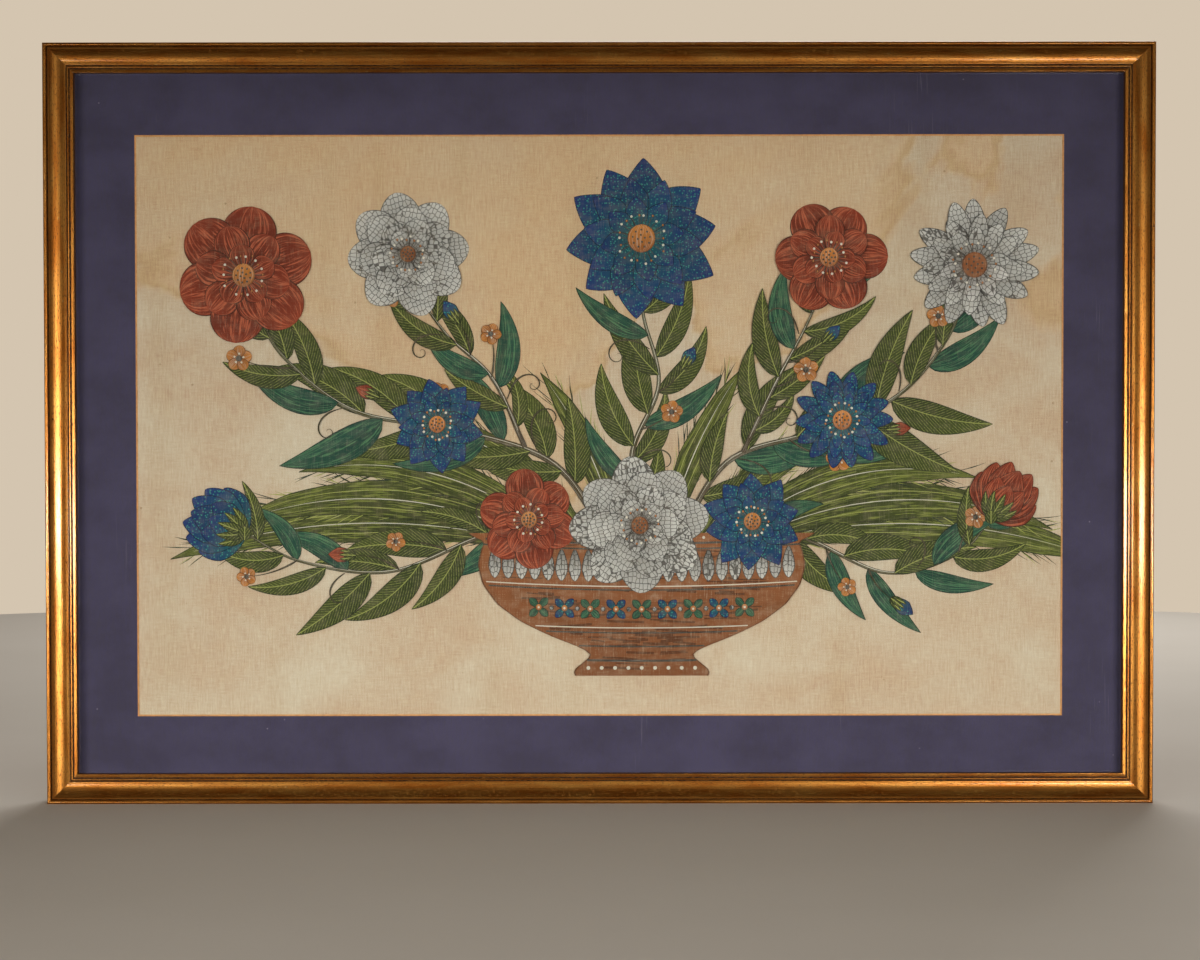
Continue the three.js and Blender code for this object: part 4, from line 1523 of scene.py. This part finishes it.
    def branch(self, points: Sequence[tuple[float, float]], width: float, leaves: int, leaf: float,
               skip: float = 0.12) -> np.ndarray:
        """Paint a stem and its leaves.

        Args:
            points: The places it passes.
            width: Its width at the root.
            leaves: Number of leaves.
            leaf: Length of its longest leaf.
            skip: Share of the stem that is bare at the root.

        Returns:
            The stem's line.
        """
        spine = curve(points, 48)
        s = np.linspace(0, 1, 48)
        tangent = np.gradient(spine, axis=0)
        plan = []
        for k in range(leaves):
            where = skip + (0.97 - skip) * (k + self.draw.uniform(-0.2, 0.2)) / max(leaves - 1, 1)
            index = int(np.clip(where, 0, 1) * 47)
            hand = 1 if k % 2 else -1
            heading = bearing(tangent[index])
            grown = leaf * (0.62 + 0.38 * math.sin(math.pi * where)) * self.draw.uniform(0.85, 1.12)
            plan.append((spine[index], heading + hand * self.draw.uniform(30, 62), grown,
                         grown * self.draw.uniform(0.26, 0.34), -hand * self.draw.uniform(18, 52),
                         "leaf_teal" if self.draw.random() < 0.22 else "leaf_green"))
        for root, heading, length, wide, bend, paint in plan[::2]:
            self.leaf(paint, root, heading, length, wide, bend)
        self.lay("stem_brown", spine, width / 2 * (1 - 0.62 * s), across=2)
        self.line("white_line", spine[4:-6] + [0.0, width * 0.16], 0.8)
        for root, heading, length, wide, bend, paint in plan[1::2]:
            self.leaf(paint, root, heading, length, wide, bend)
        return spine

    def trimmings(self, stem: np.ndarray) -> None:
        """Paint tendrils, sprigs and buds along a stem.

        Args:
            stem: The stem's line.
        """
        tangent = np.gradient(stem, axis=0)
        for k, index in enumerate((11, 18, 25, 32, 39)):
            heading = bearing(tangent[index])
            hand = 1 if k % 2 else -1
            if k in (0, 3):
                self.curl(stem[index], heading + hand * 40, self.draw.uniform(70, 105), hand)
            elif k in (1, 4):
                self.sprig(stem[index], heading - hand * 50, self.draw.uniform(38, 60), hand * 30, "ochre",
                           self.draw.uniform(10, 14))
            else:
                spine = bent(stem[index], heading + hand * 52, self.draw.uniform(34, 50), -hand * 40, 8)
                self.line("stem_brown", spine, 2.2, 0.1)
                self.bud(spine[-1], heading + hand * 16, self.draw.uniform(24, 32),
                         self.draw.choice(("petal_blue", "petal_red", "petal_red")))

    def bowl(self) -> None:
        """Paint the footed bowl with its bands, tongues and dots."""
        x, z = self.bowl_at
        s = np.linspace(0, 1, 41)
        heights = [0, 0.03, 0.09, 0.15, 0.20, 0.28, 0.38, 0.50, 0.64, 0.78, 0.90, 0.95, 0.955, 1.0]
        widths = [0.40, 0.43, 0.36, 0.30, 0.38, 0.56, 0.74, 0.88, 0.97, 1.00, 0.975, 0.95, 1.04, 1.06]
        form = np.interp(s, heights, widths)
        form = np.convolve(np.pad(form, 1, mode="edge"), [0.25, 0.5, 0.25], mode="valid")
        half = form * self.bowl_half
        spine = np.stack([np.full(41, x), z + s * self.bowl_height], -1)
        self.lay("terracotta", spine, half, across=16, tone=0.1)

        def at_height(share: float) -> float:
            """Half-width of the bowl at a share of its height."""
            return float(np.interp(share, s, half))

        def ring(share: float, offset: float | np.ndarray) -> float | np.ndarray:
            """Height of a band that sags round the bowl, at an offset from its middle."""
            return z + share * self.bowl_height + (offset / self.bowl_half) ** 2 * 6.0

        # The brush left dark streaks in the wash.
        for _ in range(110):
            share = self.draw.uniform(0.05, 0.97)
            reach = at_height(share) - 14
            start = self.draw.uniform(-reach, reach * 0.8)
            streak = bent((x + start, z + share * self.bowl_height), self.draw.uniform(-4, 4),
                          self.draw.uniform(12, 44), self.draw.uniform(-8, 8), 6)
            if abs(streak[-1, 0] - x) < at_height(share) - 5:
                self.lay("terracotta", streak, np.full(6, self.draw.uniform(0.5, 1.4)), across=2, tone=0.6)
        bands = ((0.105, 2.4, "ink"), (0.205, 1.6, "ink"), (0.30, 1.6, "ink"), (0.335, 1.1, "white_line"),
                 (0.60, 1.6, "ink"), (0.625, 1.1, "white_line"), (0.885, 1.8, "ink"), (0.925, 2.2, "ink"))
        for share, width, paint in bands:
            reach = at_height(share) - 2.0
            across = np.linspace(-reach, reach, 26)
            self.lay(paint, np.stack([x + across, ring(share, across)], -1), np.full(26, width / 2), across=2)
        for k in range(-11, 12):
            offset = k * self.tongue_pitch
            if abs(offset) < at_height(0.80) - 10:
                root = (x + offset, float(ring(0.875, offset)))
                self.petal("petal_grey", root, -90, 33.0, 13.4, 0.35)
                self.line("ink", bent((root[0], root[1] - 5), -90, 17, 0, 4), 1.2)
        for k in range(-5, 6):
            offset = k * self.motif_pitch
            middle = np.array([x + offset, float(ring(0.465, offset))])
            if abs(offset) < at_height(0.465) - 14:
                for turn in range(45, 360, 90):
                    self.petal("petal_blue" if k % 2 else "leaf_teal", middle, turn, 13.5, 8.4, 0.4)
                self.dot("ochre", middle, 3.4)
                self.dot("white_line", middle, 1.2)
        for k in range(-4, 4):
            offset = (k + 0.5) * self.motif_pitch
            self.dot("petal_grey", (x + offset, float(ring(0.465, offset))), 2.6)
        for k in range(-13, 14):
            offset = k * self.rim_dot_pitch
            if abs(offset) < at_height(0.975) - 8:
                self.dot("white_line", (x + offset, float(ring(0.962, offset))), 1.5)
        for k in range(-4, 5):
            self.dot("white_line", (x + k * self.tongue_pitch, z + 0.055 * self.bowl_height), 2.0)

    def blades(self) -> None:
        """Paint the long arching leaves that spring from the bowl."""
        x, z = self.bowl_at[0], self.bowl_at[1] + self.bowl_height - 8
        fans = ((-128, 166, 372, 42, 34), (128, 14, 372, 42, -36), (-112, 152, 330, 40, 50),
                (112, 28, 330, 40, -52), (-90, 137, 290, 37, 56), (90, 43, 282, 37, -58),
                (-62, 122, 240, 33, 46), (62, 58, 232, 33, -46), (-24, 102, 196, 30, 26),
                (26, 78, 200, 30, -24))
        for offset, heading, length, width, bend in fans:
            spine = bent((x + offset, z), heading, length, bend, 30)
            s = np.linspace(0, 1, 30)
            form = np.interp(s, [0, 0.12, 0.45, 0.8, 1.0], [0.42, 0.62, 1.0, 0.62, 0.02])
            normal = np.gradient(spine, axis=0)[:, ::-1] * [-1, 1]
            normal /= np.linalg.norm(normal, axis=1, keepdims=True)
            # Fine loose strokes soften the edge before the blade itself is laid.
            for _ in range(int(length / 4.2)):
                index = self.draw.randrange(3, 28)
                hand = self.draw.choice((-1, 1))
                start = spine[index] + normal[index] * hand * form[index] * width * 0.42
                along = bearing(spine[index] - spine[index - 1])
                self.line(self.draw.choice(("yellow_green", "leaf_teal", "blade_green")),
                          bent(start, along + hand * self.draw.uniform(10, 26), self.draw.uniform(16, 34),
                               self.draw.uniform(-14, 14), 5), self.draw.uniform(0.7, 1.3))
            self.lay("blade_green", spine, form * width / 2, form * width / 2 * 1.08, 6)
            for shift in (-0.5, 0.0, 0.5):
                rib = spine + normal * (form * width / 2 * shift)[:, None]
                self.line("white_line" if shift == 0 else "yellow_green", rib[1:-2], 1.0)

    def build(self) -> None:
        """Compose the design and fit each paint's film."""
        self.blades()
        stems = [self.branch(*spec) for spec in (
            ([(6, -112), (-50, -38), (-150, -4), (-256, 16), (-330, 72), (-362, 128)], 7.5, 17, 112),
            ([(84, -112), (136, -36), (226, -6), (310, 30), (362, 88), (384, 140)], 7.0, 16, 108),
            ([(44, -112), (34, -30), (62, 44), (46, 116), (44, 168)], 7.0, 13, 100),
            ([(-78, -22), (-112, 50), (-160, 96), (-198, 150)], 5.2, 9, 88),
            ([(150, -28), (184, 44), (212, 96), (236, 148)], 5.2, 9, 88),
            ([(-24, -110), (-112, -112), (-218, -152), (-312, -142), (-372, -112)], 6.0, 13, 98),
            ([(112, -112), (204, -114), (300, -154), (376, -134), (414, -92)], 6.0, 13, 96),
        )]
        for stem in stems:
            self.trimmings(stem)
        self.side_bloom((-372, -112), 158, 66, "petal_blue")
        self.side_bloom((410, -96), 58, 62, "petal_red")
        self.bloom((-200, 180), 66, "petal_grey", Kind.ROSE, "terracotta", 8)
        self.bloom((240, 176), 60, "petal_red", Kind.POPPY, "ochre", 0)
        self.bloom((-372, 158), 72, "petal_red", Kind.POPPY, "ochre", 20)
        self.bloom((392, 168), 68, "petal_grey", Kind.ASTER, "terracotta", 14)
        self.bloom((44, 196), 82, "petal_blue", Kind.LOTUS, "ochre", 10)
        self.bloom((-170, 2), 50, "petal_blue", Kind.LOTUS, "ochre", 22)
        self.bloom((254, 6), 52, "petal_blue", Kind.ASTER, "ochre", 0)
        self.bowl()
        self.bloom((-74, -98), 52, "petal_red", Kind.POPPY, "ochre", 40)
        self.bloom((160, -100), 52, "petal_blue", Kind.LOTUS, "ochre", 15)
        self.bloom((42, -104), 72, "petal_grey", Kind.ROSE, "terracotta", 5)
        for paint in self.paints.values():
            paint.build()


# ---------------------------------------------------------------- the back
@dataclass
class TapedBack:
    """Gummed paper over the joint between the backing board and the rabbet, cockled where it dried."""

    outline: Outline
    finish: bpy.types.Material
    step: float = 5.0 * MM
    cockle: float = 0.16 * MM
    paper: float = 0.22 * MM
    torn: float = 0.35 * MM

    def strip(self, edge: Edge, seed: int) -> bpy.types.Object:
        """Make the paper strip of one side.

        Args:
            edge: The side.
            seed: Picks its wrinkles.

        Returns:
            The strip, in place.
        """
        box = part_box("tape_top")
        inner = self.outline.top - box[0].z
        wall = self.outline.top - box[1].z
        rear = self.outline.back - box[1].y
        face = self.outline.back - box[0].y
        fold = wall + 0.1 * MM
        across = np.linspace(0, 1, 9)
        outer = ([(fold, rear + (face - rear) * t) for t in (0.0, 0.5)]
                 + [(fold + (inner - fold) * t, face - 0.05 * MM) for t in across])
        half = self.outline.length(edge) / 2
        share = np.linspace(-1, 1, int(2 * half / self.step))
        section = np.array(outer)
        rows, columns = len(share), len(section)
        along = share[:, None] * (half - section[None, :, 0] - 0.2 * MM)
        crinkle = np.array([[noise.noise(Vector((a * 60, u * 160, seed * 3.1)))
                             for a, u in zip(row, section[:, 0])] for row in along])
        held = np.array([0, 0, 0.3, 0.8, 1, 1, 1, 1, 0.9, 0.7, 0.5])[None, :]
        ragged = np.array([noise.noise(Vector((a * 90, seed, 4.0))) for a in along[:, -1]])
        inwards = np.repeat(section[None, :, 0], rows, 0)
        inwards[:, -1] += ragged * self.torn - self.torn
        lift = (0.5 + 0.5 * crinkle) * self.cockle * held
        height = np.repeat(section[None, :, 1], rows, 0) - lift
        near = self.outline.place(edge, along, inwards, height)
        under = self.outline.place(edge, along, inwards + np.where(np.arange(columns) < 2, self.paper, 0),
                                   np.minimum(height + self.paper, face + 0.2 * MM))
        points = np.concatenate([near.reshape(-1, 3), under.reshape(-1, 3)])
        place = np.stack([along + seed * 2.0, inwards, np.zeros_like(along)], -1).reshape(-1, 3)
        return mesh_piece(f"kraft_tape_{edge.word}", points, sheet_faces(rows, columns), (self.finish,),
                          crease=50, values={"place": np.concatenate([place, place])})

    def build(self) -> None:
        """Make and fit the four strips."""
        for seed, edge in enumerate(Edge, start=11):
            fit(self.strip(edge, seed), "tape", f"tape_{edge.word}")


@dataclass
class FeltStrips:
    """Two felt strips that keep the wood off the wall, with soft edges and a slightly uneven nap."""

    finish: bpy.types.Material
    pitch: float = 3.0 * MM
    nap: float = 0.22 * MM
    round_over: float = 0.9 * MM
    play: tuple[float, float, float] = (0.6, 0.5, 0.6)

    def strip(self, node: str, seed: int) -> bpy.types.Object:
        """Make one strip.

        Args:
            node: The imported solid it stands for.
            seed: Picks its unevenness.

        Returns:
            The strip, in place.
        """
        low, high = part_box(node)
        centre, size = (low + high) / 2, high - low
        shaped = bmesh.new()
        bmesh.ops.create_cube(shaped, size=1.0)
        bmesh.ops.scale(shaped, vec=size - Vector(self.play) * MM, verts=shaped.verts)
        for axis, least, cuts in ((0, 0.1, int(size.x / self.pitch)), (2, 0.01, 5)):
            spans = [e for e in shaped.edges if abs(e.verts[0].co[axis] - e.verts[1].co[axis]) > least]
            bmesh.ops.subdivide_edges(shaped, edges=spans, cuts=cuts)
        corners = [e for e in shaped.edges if e.is_manifold and e.calc_face_angle(0.0) > 1.0]
        bmesh.ops.bevel(shaped, geom=corners, offset=self.round_over, segments=3, affect="EDGES")
        for v in shaped.verts:
            shift = noise.noise(Vector((v.co.x * 300, v.co.z * 300, seed)))
            v.co += Vector((0, shift * self.nap * 0.5, shift * self.nap))
        bmesh.ops.translate(shaped, vec=centre, verts=shaped.verts)
        mesh = bpy.data.meshes.new(f"felt_strip_{seed}")
        shaped.to_mesh(mesh)
        shaped.free()
        mesh.materials.append(self.finish)
        mesh.polygons.foreach_set("use_smooth", np.ones(len(mesh.polygons), bool))
        piece = bpy.data.objects.new(f"felt_strip_{seed}", mesh)
        bpy.context.scene.collection.objects.link(piece)
        return piece

    def build(self) -> None:
        """Make and fit both strips."""
        for seed, node in enumerate(("felt_top", "felt_bottom"), start=1):
            fit(self.strip(node, seed), "felt", node)


@dataclass
class HangerScrews:
    """Pan-head wood screws with a cross recess, turned a little differently in each hole."""

    finish: bpy.types.Material
    head: float = 3.1 * MM
    dome: float = 1.45 * MM
    shank: float = 1.55 * MM
    thread: float = 0.35 * MM
    recess: float = 0.85 * MM
    arm: float = 0.42 * MM
    rise: float = 1.6 * MM
    point: float = 0.12 * MM
    taper: float = 0.22
    turns: int = 32
    around: int = 40

    def screw(self, node: str, turn: float) -> bpy.types.Object:
        """Make one screw.

        Args:
            node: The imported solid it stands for.
            turn: How far it is turned, in degrees.

        Returns:
            The screw, in place.
        """
        low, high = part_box(node)
        x, z = (low.x + high.x) / 2, (low.z + high.z) / 2
        seat = high.y - self.rise
        tip = low.y
        rings: list[tuple[float, float]] = [(0.0002, high.y - 0.05 * MM)]
        for share in np.linspace(0.08, 1, 13):
            rings.append((self.head * share, seat + self.dome * (1 - share ** 2.6) + 0.1 * MM))
        rings.append((self.head, seat))
        rings.append((self.shank, seat))
        for k in range(1, self.turns + 1):
            down = k / (self.turns + 1)
            groove = (self.thread if k % 2 else 0.0) * min(1, (1 - down) * 4)
            radius = self.shank * min(1.0, (1 - down) / self.taper) - groove
            rings.append((max(radius, self.point), seat + (tip - seat) * down))
        rings.append((0.08 * MM, tip))
        rows = []
        for radius, y in rings:
            angles = np.linspace(0, 2 * math.pi, self.around, endpoint=False)
            px, pz = radius * np.cos(angles), radius * np.sin(angles)
            depth = np.zeros(self.around)
            if y > seat + 0.05 * MM:
                own = np.radians(turn)
                u = px * math.cos(own) + pz * math.sin(own)
                v = -px * math.sin(own) + pz * math.cos(own)
                inside = np.minimum(np.abs(u), np.abs(v)) < self.arm
                inside &= np.maximum(np.abs(u), np.abs(v)) < self.head * 0.62
                depth = inside * self.recess
            rows.append(np.stack([x + px, y - depth, z + pz], -1))
        points = np.concatenate(rows)
        faces = grid_faces(len(rings), self.around, closed=True)
        faces.append(list(range(self.around)))
        faces.append([(len(rings) - 1) * self.around + i for i in range(self.around)])
        return mesh_piece(node.replace("hanger_screw", "pan_screw"), points, faces, (self.finish,), crease=40)

    def build(self) -> None:
        """Make and fit the four screws."""
        for turn, hole in ((12, "left_1"), (67, "left_2"), (38, "right_1"), (81, "right_2")):
            node = f"hanger_screw_{hole}"
            fit(self.screw(node, turn), "brass", node)


# ---------------------------------------------------------------- studio
@dataclass
class SoftBox:
    """One soft light, with its size in metres, its power in watts and its throw in degrees.

    Bright things mirror it where `mirrored` says so, and it doesn't light what is flagged off from it.
    """

    name: str
    at: tuple[float, float, float]
    aim: tuple[float, float, float]
    width: float
    height: float
    power: float
    tint: str = "#ffffff"
    mirrored: bool = True
    spread: float = 180.0
    flagged: tuple[bpy.types.Object, ...] = ()

    def build(self) -> None:
        """Put up the light."""
        lamp = bpy.data.lights.new(self.name, "AREA")
        lamp.shape = "RECTANGLE"
        lamp.size, lamp.size_y = self.width, self.height
        lamp.energy = self.power
        lamp.spread = math.radians(self.spread)
        lamp.color = linear(self.tint)[:3]
        stand = bpy.data.objects.new(self.name, lamp)
        stand.location = self.at
        stand.rotation_euler = (Vector(self.aim) - Vector(self.at)).to_track_quat("-Z", "Y").to_euler()
        stand.visible_glossy = stand.visible_transmission = self.mirrored
        bpy.context.scene.collection.objects.link(stand)
        if self.flagged:
            kept_off = bpy.data.collections.new(f"{self.name}_flagged")
            for thing in self.flagged:
                kept_off.objects.link(thing)
            for member in kept_off.collection_objects:
                member.light_linking.link_state = "EXCLUDE"
            stand.light_linking.receiver_collection = kept_off
        LOG.info("%s: %.0f W", self.name, self.power)


@dataclass
class Studio:
    """Pale floor, soft lights from the front right and left, and an even pale surround."""

    floor: bpy.types.Material
    floor_level: float
    floor_radius: float = 2.7
    floor_rings: tuple[float, ...] = (0.35, 0.7, 1.0)
    around: int = 96
    surround: str = "#d4c5b0"
    room: str = "#c8a078"
    fill: float = 0.18
    gloss: float = 0.028
    gloss_behind: float = 0.45
    camera_at: tuple[float, float, float] = (0.0005, -2.5327, -0.3783)
    tilt_down: float = 1.463
    roll: float = 0.066
    lens: float = 72.0
    film: float = 36.0

    def camera(self) -> None:
        """Set up the camera."""
        view = bpy.data.cameras.new("camera")
        view.lens, view.sensor_width = self.lens, self.film
        view.clip_start, view.clip_end = 0.05, 50
        stand = bpy.data.objects.new("camera", view)
        stand.location = self.camera_at
        stand.rotation_euler = (math.radians(90 - self.tilt_down), math.radians(self.roll), 0)
        bpy.context.scene.collection.objects.link(stand)
        bpy.context.scene.camera = stand

    def world(self) -> None:
        """Make the surround: pale to look at, an even fill for matt things, and dim in reflections."""
        world = bpy.data.worlds.new("studio surround")
        bpy.context.scene.world = world
        world.use_nodes = True
        tree = world.node_tree
        tree.nodes.clear()
        rays = add(tree, "LightPath").node.outputs
        pale = linear(self.surround)
        shown = add(tree, "Background", pale, 1.0)
        filled = add(tree, "Background", pale, self.fill)
        # Bright things mirror a warm room, dark in front and paler behind.
        _, behind, _ = add(tree, "SeparateXYZ", add(tree, "TexCoord", out="Generated")).node.outputs
        gloss = add(tree, "MapRange", behind, -0.1, 0.5, self.gloss, self.gloss_behind)
        dimmed = add(tree, "Background", linear(self.room), gloss)
        # Light that comes back through the glazing has been mirrored by its rear face.
        mirrored = add(tree, "Math MAXIMUM", rays["Is Glossy Ray"], rays["Is Transmission Ray"])
        unseen = add(tree, "MixShader", mirrored, filled, dimmed)
        surface = add(tree, "MixShader", rays["Is Camera Ray"], unseen, shown)
        add(tree, "OutputWorld", Surface=surface)

    def build(self) -> None:
        """Build the floor, the lights and the surround."""
        angles = np.linspace(0, 2 * math.pi, self.around + 1)[:-1]
        rows = [np.array([[0, 0, self.floor_level]])]
        for share in self.floor_rings:
            radius = self.floor_radius * share
            rows.append(np.stack([np.cos(angles) * radius, np.sin(angles) * radius,
                                  np.full(self.around, self.floor_level)], -1))
        points = np.concatenate(rows)
        faces = [[0, 1 + i, 1 + (i + 1) % self.around] for i in range(self.around)]
        for start in (1, 1 + self.around):
            faces += [[start + i, start + (i + 1) % self.around, start + self.around + (i + 1) % self.around,
                       start + self.around + i] for i in range(self.around)]
        floor = mesh_piece("studio_floor", points, faces, (self.floor,))
        floor.visible_glossy = floor.visible_transmission = False
        # The low boxes are flagged off the floor and the glazing, so that neither shows a hot patch.
        off = (floor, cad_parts["glazing"])
        foot = (0.0, 0.0, -0.78)
        middle = (0.0, 0.0, -0.4)
        for box in (
            SoftBox("key_right", (1.66, -2.55, -0.62), foot, 1.85, 0.19, 8.6, "#fff8ee", True, 66, off),
            SoftBox("side_left", (-1.80, -2.30, -0.62), foot, 1.75, 0.19, 6.4, "#fff9f0", True, 66, off),
            SoftBox("high_front", (0.2, -2.4, 2.0), middle, 2.4, 1.2, 2.2, mirrored=False),
            SoftBox("overhead", (0.0, -1.5, 2.4), (0.0, -1.45, -0.78), 2.2, 1.6, 8, mirrored=False,
                    spread=76),
            SoftBox("back_soft", (0.6, 2.6, 1.2), middle, 2.2, 1.4, 58),
        ):
            box.build()
        self.world()


def main() -> None:
    """Build every part of the picture in order."""
    logging.basicConfig(level=logging.INFO, format="%(message)s")
    bpy.context.scene.view_settings.view_transform = "Standard"
    outline = Outline()
    studio = Studio(PaleFloor().make(), outline.bottom)
    studio.camera()
    GildedFrame(outline, GildedWood().make(), BarePine().make()).build()
    low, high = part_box("painted_cloth")
    cotton = OldCotton()
    PaintedGround(cotton.make()).build()
    FloweringBowl(cotton, low.y, (low.z + high.z) / 2).build()
    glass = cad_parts["glazing"]
    coat("glazing", PictureGlass().make())
    glass.visible_shadow = False
    coat("window_mat", GiltBevelMat().make())
    coat("mount_board", CreamBoard().make())
    coat("backing_board", Hardboard().make())
    TapedBack(outline, KraftTape().make()).build()
    FeltStrips(PressedFelt().make()).build()
    brass = PlatedBrass().make()
    for side in ("left", "right"):
        coat(f"hanger_strap_{side}", brass)
        coat(f"hanger_ring_{side}", brass)
    HangerScrews(brass).build()
    studio.build()


if __name__ == "__main__":
    main()
